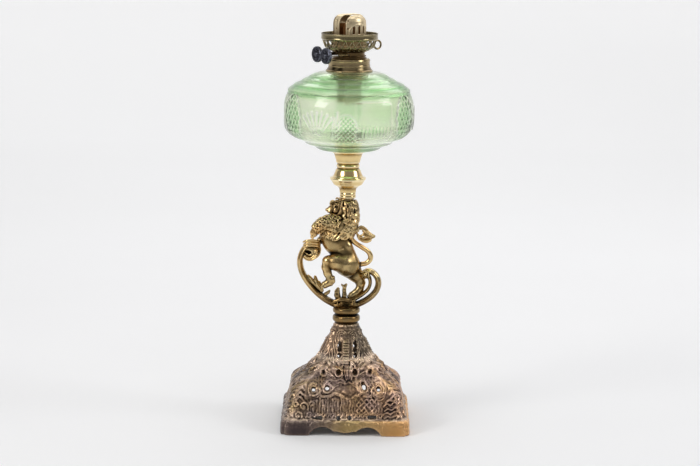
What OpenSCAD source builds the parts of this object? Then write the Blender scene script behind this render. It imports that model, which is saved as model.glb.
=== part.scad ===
// Kerosene table lamp: a square openwork cast iron foot, a rampant lion on
// scrolls, turned brass stem pieces, a pressed glass font and a burner with
// two flat wicks. Origin: centre of the foot on the surface it stands on,
// +Z up, +X to the right of a viewer who faces the lion's side.

/* [Base] */
// Side of the square foot
base_side = 148; // [144:0.5:152]
// Wall of the cast foot
base_wall = 4.2; // [3.6:0.1:4.6]
// Radius of the round holes in the foot's skirt
base_hole_r = 2.8; // [2:0.1:3.2]
// Radius of the arches between the corner feet
arch_r = 18; // [16:0.5:19]
// Radius of the threaded rod that holds stem and foot together
lower_stud_r = 5; // [4:0.1:5.5]

/* [Stem] */
// Radius of the two turned rings under the scroll
knop_r = 16.2; // [15:0.1:17]
// Half thickness of the scroll straps, front to back
scroll_half = 6; // [4.5:0.1:7]
// Radius of the stem's wide brass flange
dish_r = 21.2; // [20:0.1:22]
// Radius of the threaded rod in the brass stem pieces
upper_stud_r = 4; // [3:0.1:4.5]

/* [Font] */
// Greatest diameter of the glass font
font_d = 152.4; // [148:0.2:156]
// Inner radius of the glass neck
neck_r = 17.5; // [17.4:0.05:17.9]
// Radius of the brass collar
collar_r = 24; // [23.6:0.1:24.4]

/* [Burner] */
// Direction of the winders, seen from above, from +X
burner_turn = 216; // [200:1:230]
// Outer radius of the gallery's chimney band
gallery_r = 33; // [32.6:0.1:33.6]
// Number of slits round the gallery
slit_count = 48; // [36:1:48]
// Width of one slit
slit_w = 1.9; // [1.2:0.1:2]
// Outer radius of the hood
hood_r = 18.9; // [18.8:0.05:19.1]
// Height of the hood's top above the surface
hood_top = 483; // [482.5:0.1:484]
// Width of each flame slot
flame_slot = 7.6; // [6:0.1:7.8]

/* [Wicks and winders] */
// Distance of each wick from the burner's axis
wick_off = 8.2; // [8.1:0.05:8.3]
// Width of a flat wick
wick_w = 22; // [21:0.1:22.2]
// Thickness of a flat wick
wick_t = 2.6; // [2.2:0.1:2.7]
// Distance of each winder spindle from the burner's axis
spindle_off = 12.4; // [12.4:0.05:12.6]
// Height of the winder spindles
spindle_z = 437; // [436.9:0.05:437.1]
// Radius of a winder spindle
spindle_r = 1.1; // [1:0.02:1.12]
// Radius of a winder knob
knob_r = 9.5; // [8:0.1:10]
// Reach of the front knob from the burner's axis
knob_front_x = 41.8; // [39:0.1:44]
// Reach of the rear knob from the burner's axis
knob_rear_x = 36.8; // [34:0.1:38]

/* [Extinguisher] */
// Distance of the lever's pin from the burner's axis
pin_x = 20.5; // [20.4:0.05:20.6]
// Height of the lever's pin
pin_z = 443.5; // [443.4:0.05:443.6]
// Radius of the lever's finger ring, to the middle of the wire
ring_r = 4.9; // [4:0.1:5.2]
// Radius of the lever's wire
wire_r = 0.85; // [0.7:0.01:0.88]

/* [Hidden] */
$fn = 96;
kb = base_side / 148;
kf = (font_d / 2 - 22) / (76.2 - 22);
wall_g = 0.8;
tube_w = wick_w + 2.2;
tube_t = wick_t + 2.2;
slv_w = wick_w + 4;
slv_t = wick_t + 4;

// ---------- helpers ----------

// Stack of square levels [height, half side], closed top and bottom
module square_stack(lv) {
  n = len(lv);
  polyhedron(
    points = [for (l = lv) for (c = [[-1, -1], [1, -1], [1, 1], [-1, 1]])
      [c[0] * l[1], c[1] * l[1], l[0]]],
    faces = concat(
      [[0, 1, 2, 3]],
      [for (i = [0:n - 2]) for (k = [0:3])
        [4 * i + k, 4 * (i + 1) + k, 4 * (i + 1) + (k + 1) % 4, 4 * i + (k + 1) % 4]],
      [[4 * n - 1, 4 * n - 2, 4 * n - 3, 4 * n - 4]]));
}

// Hull of two balls given as [x, y, z, radius]
module limb(a, b) {
  hull() {
    translate([a[0], a[1], a[2]]) sphere(r = a[3], $fn = 14);
    translate([b[0], b[1], b[2]]) sphere(r = b[3], $fn = 14);
  }
}

// Chain of limbs
module chain(p) { for (i = [0:len(p) - 2]) limb(p[i], p[i + 1]); }

// Flat strap along points [x, z, half thickness], hw deep to each side in Y,
// with every surface moved out by g
module strap(p, hw, g = 0) {
  for (i = [0:len(p) - 2]) hull() {
    for (q = [p[i], p[i + 1]]) translate([q[0], 0, q[1]]) rotate([90, 0, 0]) {
      cylinder(r = q[2] * 0.55 + g, h = 2 * (hw + g), center = true, $fn = 14);
      cylinder(r = q[2] + g, h = 1.1 * hw + 2 * g, center = true, $fn = 14);
    }
  }
}

// Everything of the burner is drawn with its winders towards +X
module turned() { rotate([0, 0, burner_turn]) children(); }

// ---------- stand ----------

// Levels of the foot's walls [height, outer half side, inner half side plus
// the wall], from the feet to the cone
wall_levels = [[0, 74, 74], [15.5, 74, 73.8], [17, 72.4, 73], [23, 70, 70],
  [24.5, 68.6, 69], [45, 64, 63.6], [52, 60, 59], [60, 50, 49.4],
  [68, 43, 42.4], [75, 38, 37.4], [80, 34.1, 32.4]];

// One of the foot's four walls, mitred at the corners, facing the angle a,
// with a scalloped apron and its holes
module base_wall_panel(a) {
  n = len(wall_levels);
  rotate([0, 0, a]) difference() {
    polyhedron(
      points = [for (l = wall_levels) let (o = l[1] * kb, i = l[2] * kb - base_wall)
        each [[-o, -o, l[0]], [o, -o, l[0]], [i, -i, l[0]], [-i, -i, l[0]]]],
      faces = concat(
        [[0, 1, 2, 3]],
        [for (i = [0:n - 2]) for (k = [0:3])
          [4 * i + k, 4 * (i + 1) + k, 4 * (i + 1) + (k + 1) % 4, 4 * i + (k + 1) % 4]],
        [[4 * n - 1, 4 * n - 2, 4 * n - 3, 4 * n - 4]]));
    for (s = [-26, 26]) translate([s, -60, -8]) rotate([90, 0, 0])
      cylinder(r = arch_r, h = 20);
    translate([-12, -80, -1]) cube([24, 20, 5]);
    for (x = [-34, 28]) translate([x, -60, 21]) rotate([90, 0, 0])
      cylinder(r = base_hole_r, h = 20);
    for (x = [-10, 3]) translate([x, -60, 21]) rotate([90, 0, 0])
      cylinder(r = base_hole_r * 0.75, h = 20);
    for (x = [-38, -23, 19, 36]) translate([x, -45, 53]) rotate([90, 0, 0])
      cylinder(r = base_hole_r, h = 20);
    for (x = [-27, -10, 9, 27]) translate([x, -30, 68]) rotate([90, 0, 0])
      cylinder(r = base_hole_r, h = 20);
  }
}

module base_wall_front() { color("#7a6038") base_wall_panel(0); }
module base_wall_right() { color("#7a6038") base_wall_panel(90); }
module base_wall_back() { color("#7a6038") base_wall_panel(180); }
module base_wall_left() { color("#7a6038") base_wall_panel(270); }

// The foot's hollow cone on its square shoulder, with slots on four sides
module base_cone() {
  color("#7a6038") difference() {
    union() {
      square_stack([[80, 34.1 * kb], [84, 31 * kb]]);
      translate([0, 0, 80]) cylinder(r1 = 32.7, r2 = 13.7, h = 39);
    }
    translate([0, 0, 79]) cylinder(r1 = 28.22, r2 = 16.9, h = 25);
    translate([0, 0, 100]) cylinder(r = lower_stud_r, h = 25);
    for (a = [0:90:270]) rotate([0, 0, a]) for (x = [-6.4, 6.4]) {
      translate([x, -10, 90]) rotate([90, 0, 0]) cylinder(r = 1.6, h = 25);
      translate([x, -10, 98.5]) rotate([90, 0, 0]) cylinder(r = 1.6, h = 25);
      translate([x - 1.6, -35, 90]) cube([3.2, 25, 8.5]);
    }
  }
}

module base_washer() {
  color("#8d8a82") translate([0, 0, 101.6]) difference() {
    cylinder(r = 12, h = 2.4);
    translate([0, 0, -1]) cylinder(r = lower_stud_r, h = 5);
  }
}

module base_nut() {
  color("#8d8a82") translate([0, 0, 93.6]) difference() {
    cylinder(r = 9.8, h = 8, $fn = 6);
    translate([0, 0, -1]) cylinder(r = lower_stud_r, h = 10, $fn = 96);
  }
}

module lower_stud() {
  color("#8d8a82") translate([0, 0, 90]) cylinder(r = lower_stud_r, h = 57);
}

module stem_knop() {
  color("#8a6f3c") rotate_extrude() polygon([
    [lower_stud_r, 119], [13.6, 119], [13.8, 120.6], [knop_r - 0.9, 122.2],
    [knop_r, 124], [knop_r, 126], [knop_r - 0.9, 127.7], [13.9, 129],
    [13.4, 130], [13.9, 131], [knop_r - 1, 132], [knop_r - 0.2, 133.6],
    [knop_r - 0.2, 135.6], [knop_r - 1, 137.2], [14.6, 138], [lower_stud_r, 138]]);
}

// The scroll's straps, with every surface moved out by g
module scroll_straps(g = 0) {
  h = scroll_half;
  // left sweep: hub, belly, outer side, then the volute
  strap([[-3, 143.5, 4], [-16, 148.5, 3.6], [-29, 156, 3.2], [-41, 166.5, 3],
    [-50, 179, 2.8], [-55.5, 192, 2.7], [-55.5, 204, 2.8], [-50, 212.5, 3],
    [-42.5, 215, 3.4], [-35, 211, 3.4], [-33.5, 203.5, 3.6], [-38, 197.6, 3.6]], h, g);
  // right sweep: hub, belly, outer side, over the top and in
  strap([[3, 142.6, 4], [16, 143.4, 3.4], [28, 149, 3.2], [37, 158.5, 3],
    [40.5, 170, 3], [37.5, 180.5, 3], [29, 186, 3], [20.5, 182, 3.2]], h, g);
  // inner strap of the right sweep, and the ground under the standing foot
  strap([[-2, 148, 3.4], [10, 147, 3], [22, 151.5, 2.4], [30, 161, 2.2],
    [32, 171, 2.2], [24, 180, 2.4]], h * 0.8, g);
  // leaf on the left sweep and bud at the bottom
  strap([[-36, 169, 2], [-42, 176, 3], [-47, 181.5, 1.6]], h * 0.7, g);
  strap([[-8, 148, 3.6], [-9, 157, 3.4], [-3.5, 164, 1.8]], h * 0.7, g);
}

module scroll_bracket() {
  color("#a08a4a") difference() {
    union() {
      translate([0, 0, 138]) cylinder(r1 = 13, r2 = 10.5, h = 9, $fn = 32);
      scroll_straps();
    }
    translate([0, 0, 130]) cylinder(r = lower_stud_r + 0.05, h = 17, $fn = 48);
  }
}

module lion_figure() {
  color("#a08a4a") difference() {
    union() {
      // head and muzzle
      limb([-9, 0, 259, 10], [-17, 0, 257, 7]);
      limb([-17, 0, 257, 7], [-22.5, 0, 255, 4.4]);
      // crest, mane and neck
      limb([-3, 0, 262, 10], [2, 0, 250, 12.5]);
      limb([2, 0, 250, 12.5], [-1, 0, 232, 14]);
      limb([-8, 0, 248, 10], [-12, 0, 232, 12]);
      // chest, barrel and loin
      limb([-10, 0, 228, 14], [-14, 0, 215, 13.5]);
      limb([-10, 0, 214, 13], [-3, 0, 202, 11.5]);
      limb([-3, 0, 202, 11.5], [0, 0, 189, 13.5]);
      // raised foreleg, and the one whose paw lies on the volute
      chain([[-12, -7, 240, 8], [-27, -9, 236, 7], [-38, -9, 228, 5], [-43.5, -9, 225, 4.6]]);
      chain([[-16, 7, 228, 7.5], [-26, 6, 223, 6], [-31, 4, 217.5, 4.2], [-35, 3, 217.8, 3.6]]);
      // raised hind leg
      chain([[0, -6, 190, 11], [-14, -8, 192, 8.4], [-24, -8, 191, 6],
        [-18.5, -8, 176, 4.4], [-22, -8, 167.5, 4], [-28, -8, 165.5, 3.6]]);
      // standing hind leg
      chain([[2, 5, 186, 12], [6, 6, 178, 8.6], [15, 5, 170, 5.6], [14.5, 4, 160, 4.2],
        [8, 3, 154.5, 4.2], [3, 2, 152.5, 3.2]]);
      // tail and its tuft
      chain([[13, 1, 189, 3.2], [24, 1, 187.5, 2.5], [31, 1, 194, 2.3], [30, 1, 203, 2.2],
        [21, 1, 211, 2.1], [11, 2, 217, 2], [7, 3, 224, 2.2], [11, 4, 231, 3],
        [20, 4, 226.5, 5.2], [30, 4, 222.5, 2.6]]);
    }
    // seat of the cap on the head
    translate([0, 0, 268]) cylinder(r = 12, h = 20, $fn = 48);
    // the paws are notched where they stand on the scroll's straps
    scroll_straps(0.03);
  }
}

module lion_cap() {
  color("#c9a54e") rotate_extrude() polygon([
    [0, 268], [8.8, 268], [9.4, 269.2], [9.4, 273.4], [8.9, 275],
    [upper_stud_r, 275], [upper_stud_r, 269], [0, 269]]);
}

module upper_stud() {
  color("#8d8a82") translate([0, 0, 269]) cylinder(r = upper_stud_r, h = 37);
}

module stem_dish() {
  color("#d8b75f") rotate_extrude() polygon([
    [upper_stud_r, 275], [9.6, 275], [9.9, 278.6], [10.6, 280], [11.8, 281.3],
    [13.6, 282.4], [16.5, 284], [17.6, 285.4], [18.8, 287.7], [dish_r - 1.2, 289.6],
    [dish_r - 0.1, 290.6], [dish_r, 291.8], [dish_r - 0.6, 292.6], [upper_stud_r, 292.6]]);
}

module font_connector() {
  color("#d8b75f") rotate_extrude() polygon([
    [upper_stud_r, 292.6], [18, 292.6], [18.2, 293.7], [17, 294.9], [15.8, 297.3],
    [14.7, 301], [13, 303.2], [12.6, 303.9], [13.1, 304.6], [13.6, 306.3],
    [13.1, 308], [12.6, 308.7], [13.1, 309.4], [14, 310.3], [14.6, 313.8],
    [15.8, 317.3], [17, 320.9], [19.7, 322.6], [20.2, 323.4], [19.9, 324.6],
    [12.5, 324.6], [12.5, 314.5], [0, 314.5], [0, 306], [upper_stud_r, 306]]);
}

module connector_cement() {
  color("#d9d4c6") rotate_extrude() polygon([
    [0, 314.5], [12.5, 314.5], [12.5, 324.6], [10, 324.6], [10, 316], [0, 316]]);
}

// ---------- font ----------

// Radius on the glass, stretched with the font's diameter outside the neck
function fr(r) = r <= 22 ? r : 22 + (r - 22) * kf;

module font() {
  color("#9fdca6", 0.45) rotate_extrude() polygon([
    [neck_r, 426.5], [20.5, 426.5], [20.5, 417], [fr(30), 416.9], [fr(36), 415.8],
    [fr(43), 413], [fr(46), 410.8], [fr(50), 409], [fr(55.2), 406.2],
    [fr(58.2), 404], [fr(63.3), 402], [fr(67.3), 399.4], [fr(70.6), 397],
    [fr(71), 394.6], [fr(72.2), 390.8], [fr(74.4), 386.6], [fr(75.8), 382],
    [fr(76.2), 377], [fr(76.2), 362], [fr(75.2), 354.8], [fr(74.4), 350],
    [fr(72.6), 347.4], [fr(70.5), 345.2], [fr(68.2), 343], [fr(65), 340.6],
    [fr(58.4), 338.2], [fr(53), 335.8], [fr(51.3), 333.9], [fr(47.8), 332.4],
    [fr(42.5), 331], [fr(39.7), 329], [fr(36.8), 326.8], [fr(32.7), 325.4],
    [fr(27), 324.6], [10, 324.6], [10, 316], [0, 316], [0, 328.5],
    [fr(30), 329.5], [fr(44), 335.3], [fr(58), 342.4], [fr(66.4), 348.6],
    [fr(70.9), 356], [fr(71.8), 364], [fr(71.8), 377], [fr(70.2), 385],
    [fr(67), 391.6], [fr(61), 397.6], [fr(50), 403.6], [fr(40), 408.8],
    [fr(30), 412], [neck_r, 412.6]]);
}

module collar_cement() {
  color("#d9d4c6") rotate_extrude() polygon([
    [20.5, 417], [collar_r - 1.4, 417], [collar_r - 1.4, 427], [20.5, 427]]);
}

module font_collar() {
  color("#9a8046") difference() {
    rotate_extrude() polygon([
      [collar_r - 1.4, 417], [collar_r + 3.3, 417], [collar_r + 3.3, 418.5],
      [collar_r + 1.6, 420.6], [collar_r + 0.3, 423], [collar_r, 425],
      [collar_r, 430.4], [collar_r - 0.4, 431.5], [collar_r - 1.2, 432],
      [18.6, 432], [18.6, 430.8], [collar_r - 1.4, 430.8]]);
    turned() for (s = [-1, 1])
      translate([-3, s * 18.6 - 2.2, 430]) cube([6, 4.4, 3]);
  }
}

// ---------- burner ----------

module burner_body() {
  color("#8d7a44") turned() difference() {
    union() {
      rotate_extrude() polygon([
        [16.4, 424], [17.2, 424], [17.2, 432.1], [20, 432.1], [20, 433],
        [17.8, 433.2], [17.8, 434.2], [19.2, 434.4], [19.6, 435], [19.2, 435.6],
        [17.8, 435.8], [17.8, 439.4], [18.6, 439.4], [18.6, 440], [17, 440],
        [17, 433], [16.4, 432.4]]);
      for (s = [-1, 1]) translate([-2.5, s > 0 ? 17 : -19.8, 427.7])
        cube([5, 2.8, 1.5]);
    }
    for (s = [-1, 1]) translate([8, s * spindle_off, spindle_z])
      rotate([0, 90, 0]) cylinder(r = 2, h = 16);
  }
}

module burner_plate() {
  color("#7f6d3c") turned() difference() {
    translate([0, 0, 426]) cylinder(r = 16.4, h = 1.2);
    for (s = [-1, 1]) translate([-tube_w / 2, s * wick_off - tube_t / 2, 425])
      cube([tube_w, tube_t, 3]);
  }
}

module air_screen() {
  color("#7f6d3c") turned() difference() {
    rotate_extrude() polygon([
      [17.2, 440], [18, 440], [19.8, 444.6], [26.6, 444.6], [27.44, 445.4], [19, 445.4]]);
    for (a = [15:15:345]) if (a < 165 || a > 195) rotate([0, 0, a])
      translate([24, 0, 443]) cylinder(r = 1.1, h = 4, $fn = 24);
    // room for the lever, and under the shelf for its two bearings
    translate([-30, -1.6, 439.8]) cube([14, 3.2, 7]);
    translate([-30, -2.45, 439.8]) cube([14, 4.9, 4.8]);
  }
}

module gallery() {
  r = gallery_r;
  color("#8d7a44") turned() difference() {
    rotate_extrude() polygon([
      [18.6, 439.4], [19.4, 439.4], [22.9, 441.2], [26.5, 443.2], [28.7, 445.2],
      [r - 2.8, 448.6], [r - 1.5, 452.6], [r, 455.4], [r, 461], [r - wall_g, 461],
      [r - wall_g, 455.7], [r - 2.3, 452.9], [r - 3.6, 448.9], [27.9, 445.8],
      [26, 444], [22.6, 442.1], [19.2, 440.3], [18.6, 440.1]]);
    // upright slits
    for (i = [0:slit_count - 1]) rotate([0, 0, (i + 0.5) * 360 / slit_count])
      translate([26, -slit_w / 2, 445.6]) cube([8, slit_w, 8]);
    // row of round holes under the slits
    for (i = [0:slit_count / 2 - 1]) rotate([0, 0, (i + 0.5) * 720 / slit_count])
      translate([24.7, 0, 442.2]) rotate([0, 28, 0])
        translate([0, 0, -2]) cylinder(r = 1.1, h = 5, $fn = 24);
    // way out for the lever
    translate([-37, -1.5, 438.8]) cube([18, 3, 9.2]);
  }
}

module hood() {
  r = hood_r;
  t = hood_top - 483;
  color("#d6bd7d") turned() difference() {
    rotate_extrude() polygon([
      [r - 0.7, 445.6], [21.5, 445.6], [21.5, 446.3], [r, 446.3], [r, 472 + t],
      [r - 0.4, 475.5 + t], [r - 1.7, 478.8 + t], [r - 3.9, 481.2 + t],
      [r - 6.9, 482.6 + t], [8, 483 + t], [0, 483 + t], [0, 482.3 + t],
      [8, 482.3 + t], [r - 7.2, 481.9 + t], [r - 4.5, 480.5 + t],
      [r - 2.4, 478.3 + t], [r - 1.1, 475.2 + t], [r - 0.7, 472 + t]]);
    // flame slots over the top and down both ends
    for (s = [-1, 1]) translate([-25, s * 8.4 - flame_slot / 2, 456])
      cube([50, flame_slot, 40]);
    // three arched windows in each cheek
    for (c = [90, 270]) for (d = [-21, 0, 21]) rotate([0, 0, c + d]) {
      translate([10, -1.4, 461]) cube([12, 2.8, 8]);
      translate([10, 0, 469]) rotate([0, 90, 0]) cylinder(r = 1.4, h = 12, $fn = 32);
    }
    // small holes beside the slots
    for (c = [48, 132, 228, 312, 0, 180]) for (z = [467, 476]) rotate([0, 0, c])
      translate([8, 0, z]) rotate([0, 90, 0]) cylinder(r = 1, h = 14, $fn = 24);
  }
}

module wick_tube(s) {
  translate([0, s * wick_off, 0]) difference() {
    translate([-tube_w / 2, -tube_t / 2, 423]) cube([tube_w, tube_t, 49]);
    translate([-tube_w / 2 + 0.7, -tube_t / 2 + 0.7, 422])
      cube([tube_w - 1.4, tube_t - 1.4, 51]);
    translate([-7.4, s > 0 ? 1 : -6, spindle_z - 3.4]) cube([14.8, 5, 6.8]);
  }
}
module wick_tube_front() { color("#7b4f22") turned() wick_tube(1); }
module wick_tube_rear() { color("#7b4f22") turned() wick_tube(-1); }

module wick(s) {
  translate([-wick_w / 2, s * wick_off - wick_t / 2, 378])
    cube([wick_w, wick_t, 92.5]);
}
module wick_front() { color("#e8e0cc") turned() wick(1); }
module wick_rear() { color("#e8e0cc") turned() wick(-1); }

module spindle(s, len_x) {
  translate([-9, s * spindle_off, spindle_z]) rotate([0, 90, 0])
    cylinder(r = spindle_r, h = len_x + 11);
}
module spindle_front() { color("#5c5346") turned() spindle(1, knob_front_x); }
module spindle_rear() { color("#5c5346") turned() spindle(-1, knob_rear_x); }

// Two star wheels on one spindle
module feed_wheels(s) {
  for (x = [-6, 6]) translate([x - 0.8, s * spindle_off, spindle_z])
    rotate([0, 90, 0]) difference() {
      linear_extrude(1.6) polygon([for (i = [0:19])
        (i % 2 == 0 ? 2.6 : 1.9) * [cos(18 * i), sin(18 * i)]]);
      translate([0, 0, -1]) cylinder(r = spindle_r, h = 4, $fn = 48);
    }
}
module feed_wheels_front() { color("#5c5346") turned() feed_wheels(1); }
module feed_wheels_rear() { color("#5c5346") turned() feed_wheels(-1); }

module spindle_guide(s) {
  translate([12.3, s * spindle_off, spindle_z]) rotate([0, 90, 0]) difference() {
    cylinder(r = 2, h = 12.7);
    translate([0, 0, -1]) cylinder(r = 1.16, h = 16);
  }
}
module spindle_guide_front() { color("#8d7a44") turned() spindle_guide(1); }
module spindle_guide_rear() { color("#8d7a44") turned() spindle_guide(-1); }

// Knurled disc knob on the spindle's end
module winder_knob(s, x) {
  translate([x, s * spindle_off, spindle_z]) rotate([0, 90, 0]) difference() {
    rotate_extrude() polygon([
      [spindle_r, -4.5], [3.2, -4.5], [3.6, -2.3], [knob_r - 1, -2.3],
      [knob_r, -1.5], [knob_r, 1.5], [knob_r - 1, 2.3], [5, 2.3], [4, 1.6],
      [3, 2.6], [spindle_r, 2.6]]);
    for (i = [0:29]) rotate([0, 0, 12 * i]) translate([knob_r, 0, -3])
      cylinder(r = 0.5, h = 6, $fn = 16);
  }
}
module winder_knob_front() { color("#23242a") turned() winder_knob(1, knob_front_x); }
module winder_knob_rear() { color("#23242a") turned() winder_knob(-1, knob_rear_x); }

// ---------- extinguisher ----------

module extinguisher_lever() {
  rise = atan((446 - 0.6 - pin_z) / (40.3 - ring_r - pin_x));
  color("#9a8448") turned() difference() {
    union() {
      translate([-pin_x, 0, pin_z]) {
        rotate([90, 0, 0]) cylinder(r = 1.3, h = 2.4, center = true);
        rotate([0, 90, 0]) cylinder(r = wire_r, h = pin_x - 2, $fn = 48);
        rotate([0, -90 + rise, 0]) cylinder(r = wire_r, h = 15.1, $fn = 48);
      }
      translate([-40.3, 0, 446]) rotate([90, 0, 0]) rotate_extrude()
        translate([ring_r, 0]) circle(r = wire_r, $fn = 48);
    }
    translate([-pin_x, 0, pin_z]) rotate([90, 0, 0])
      cylinder(r = 0.56, h = 6, center = true, $fn = 48);
  }
}

module lever_bracket() {
  color("#7f6d3c") turned() for (s = [-1, 1]) difference() {
    translate([-pin_x - 1.5, s > 0 ? 1.6 : -2.4, 442.2]) cube([3, 0.8, 2.4]);
    translate([-pin_x, 0, pin_z]) rotate([90, 0, 0])
      cylinder(r = 0.5, h = 8, center = true, $fn = 48);
  }
}

module lever_pin() {
  color("#8d8a82") turned() translate([-pin_x, 0, pin_z]) rotate([90, 0, 0])
    cylinder(r = 0.5, h = 4.8, center = true, $fn = 48);
}

module snuffer_sleeve(s) {
  translate([0, s * wick_off, 444.7]) difference() {
    translate([-slv_w / 2, -slv_t / 2, 0]) cube([slv_w, slv_t, 23.3]);
    translate([-slv_w / 2 + 0.5, -slv_t / 2 + 0.5, -1])
      cube([slv_w - 1, slv_t - 1, 26]);
  }
}
module snuffer_sleeve_front() { color("#6e4a24") turned() snuffer_sleeve(1); }
module snuffer_sleeve_rear() { color("#6e4a24") turned() snuffer_sleeve(-1); }

module snuffer_bridge() {
  w = wick_off - slv_t / 2;
  color("#7f6d3c") turned() translate([-4, -w, 444.7]) cube([8, 2 * w, 0.9]);
}

// ---------- what is drawn ----------

base_wall_front();
base_wall_right();
base_wall_back();
base_wall_left();
base_cone();
base_washer();
base_nut();
lower_stud();
stem_knop();
scroll_bracket();
lion_figure();
lion_cap();
upper_stud();
stem_dish();
font_connector();
connector_cement();
font();
collar_cement();
font_collar();
burner_body();
burner_plate();
air_screen();
gallery();
hood();
wick_tube_front();
wick_tube_rear();
wick_front();
wick_rear();
spindle_front();
spindle_rear();
feed_wheels_front();
feed_wheels_rear();
spindle_guide_front();
spindle_guide_rear();
winder_knob_front();
winder_knob_rear();
extinguisher_lever();
lever_bracket();
lever_pin();
snuffer_sleeve_front();
snuffer_sleeve_rear();
snuffer_bridge();
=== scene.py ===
import bpy
import math
import numpy as np
import openvdb
from mathutils import Matrix, Vector


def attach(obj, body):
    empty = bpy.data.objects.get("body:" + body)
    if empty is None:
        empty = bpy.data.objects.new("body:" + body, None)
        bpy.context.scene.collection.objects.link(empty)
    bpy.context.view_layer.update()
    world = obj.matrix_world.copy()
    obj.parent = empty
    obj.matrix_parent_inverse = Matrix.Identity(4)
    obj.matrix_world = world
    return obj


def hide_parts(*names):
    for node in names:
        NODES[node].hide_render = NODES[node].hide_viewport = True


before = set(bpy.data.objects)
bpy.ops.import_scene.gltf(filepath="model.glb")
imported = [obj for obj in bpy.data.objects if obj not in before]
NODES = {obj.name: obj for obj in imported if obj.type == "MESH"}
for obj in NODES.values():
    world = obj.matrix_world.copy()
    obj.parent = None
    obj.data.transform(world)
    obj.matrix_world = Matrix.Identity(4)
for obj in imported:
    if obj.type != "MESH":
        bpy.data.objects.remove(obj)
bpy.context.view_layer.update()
rng = np.random.RandomState(7)

# ------------------------------------------------------------------ camera
# Millimetres throughout, turned into metres when a mesh is written.
CAM_X, CAM_Y, CAM_Z = 3.2, -2600.0, 666.0
PITCH, ROLL, FPX = math.radians(9.6), 0.0122, 2244.0
_rx = np.array(Matrix.Rotation(math.radians(90) - PITCH, 3, "X"))
_rz = np.array(Matrix.Rotation(ROLL, 3, "Z"))
CAM_R = _rx @ _rz


def P(px, py, y=0.0):
    """Point in mm that lies at depth y behind picture point (px, py)."""
    d = CAM_R @ np.array([(px - 350.0) / FPX, (233.0 - py) / FPX, -1.0])
    t = (y - CAM_Y) / d[1]
    return np.array([CAM_X + t * d[0], y, CAM_Z + t * d[2]])


def to_px(p):
    """Picture point of a point in mm."""
    c = CAM_R.T @ (np.asarray(p, float) - np.array([CAM_X, CAM_Y, CAM_Z]))
    return 350.0 - FPX * c[0] / c[2], 233.0 + FPX * c[1] / c[2]


cam_data = bpy.data.cameras.new("view")
cam_data.lens = FPX * 36.0 / 700.0
cam_data.sensor_width = 36.0
cam_data.clip_start = 0.05
cam_data.clip_end = 60.0
cam = bpy.data.objects.new("view", cam_data)
bpy.context.scene.collection.objects.link(cam)
cam.matrix_world = (Matrix.Translation((CAM_X / 1000, CAM_Y / 1000, CAM_Z / 1000))
                    @ Matrix.Rotation(math.radians(90) - PITCH, 4, "X") @ Matrix.Rotation(ROLL, 4, "Z"))
bpy.context.scene.camera = cam


# ------------------------------------------------------------------ meshes
def write_mesh(name, verts, tris=None, quads=None, cav=None, smooth=True):
    """Mesh object from arrays in mm. cav is a number for each vertex, below 0 in a recess."""
    me = bpy.data.meshes.new(name)
    flat, totals = [], []
    for arr, k in ((tris, 3), (quads, 4)):
        if arr is not None and len(arr):
            arr = np.asarray(arr, np.int32)
            flat.append(arr.reshape(-1))
            totals.append(np.full(len(arr), k, np.int32))
    loops = np.concatenate(flat)
    total = np.concatenate(totals)
    start = np.concatenate([[0], np.cumsum(total)[:-1]]).astype(np.int32)
    verts = np.asarray(verts, np.float64)
    me.vertices.add(len(verts))
    me.vertices.foreach_set("co", (verts * 0.001).astype(np.float32).reshape(-1))
    me.loops.add(len(loops))
    me.loops.foreach_set("vertex_index", loops)
    me.polygons.add(len(total))
    me.polygons.foreach_set("loop_start", start)
    me.update(calc_edges=True)
    me.validate()
    if smooth:
        me.polygons.foreach_set("use_smooth", np.ones(len(me.polygons), bool))
    if cav is not None and len(me.vertices) == len(cav):
        at = me.attributes.new("cav", "FLOAT", "POINT")
        at.data.foreach_set("value", np.asarray(cav, np.float32))
    ob = bpy.data.objects.new(name, me)
    bpy.context.scene.collection.objects.link(ob)
    return ob


def put(ob, body, slot, mat, *nodes):
    ob.data.materials.append(mat)
    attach(ob, body)
    if nodes:
        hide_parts(*nodes)
    return ob


def chaikin(pts, times=2, closed=False):
    p = np.asarray(pts, float)
    for _ in range(times):
        if closed:
            q = np.roll(p, -1, 0)
            out = np.empty((2 * len(p), p.shape[1]))
            out[0::2] = 0.75 * p + 0.25 * q
            out[1::2] = 0.25 * p + 0.75 * q
            p = out
        else:
            a, b = p[:-1], p[1:]
            out = np.empty((2 * len(a), p.shape[1]))
            out[0::2] = 0.75 * a + 0.25 * b
            out[1::2] = 0.25 * a + 0.75 * b
            p = np.vstack([p[:1], out, p[-1:]])
    return p


def spline(pts, per=8):
    """Catmull-Rom through the points, any number of columns."""
    p = np.asarray(pts, float)
    q = np.vstack([2 * p[0] - p[1], p, 2 * p[-1] - p[-2]])
    out = []
    for i in range(len(p) - 1):
        a, b, c, d = q[i], q[i + 1], q[i + 2], q[i + 3]
        for t in np.arange(per) / per:
            out.append(0.5 * (2 * b + (c - a) * t + (2 * a - 5 * b + 4 * c - d) * t * t
                              + (3 * b - a - 3 * c + d) * t ** 3))
    out.append(p[-1])
    return np.array(out)


def seal(ob_verts, quads):
    """Quads turned so that the closed mesh's volume is positive."""
    v = ob_verts
    q = np.asarray(quads)
    vol = 0.0
    for a, b, c in ((0, 1, 2), (0, 2, 3)):
        vol += np.einsum("ij,ij->", v[q[:, a]], np.cross(v[q[:, b]], v[q[:, c]]))
    return q[:, ::-1] if vol < 0 else q


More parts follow.
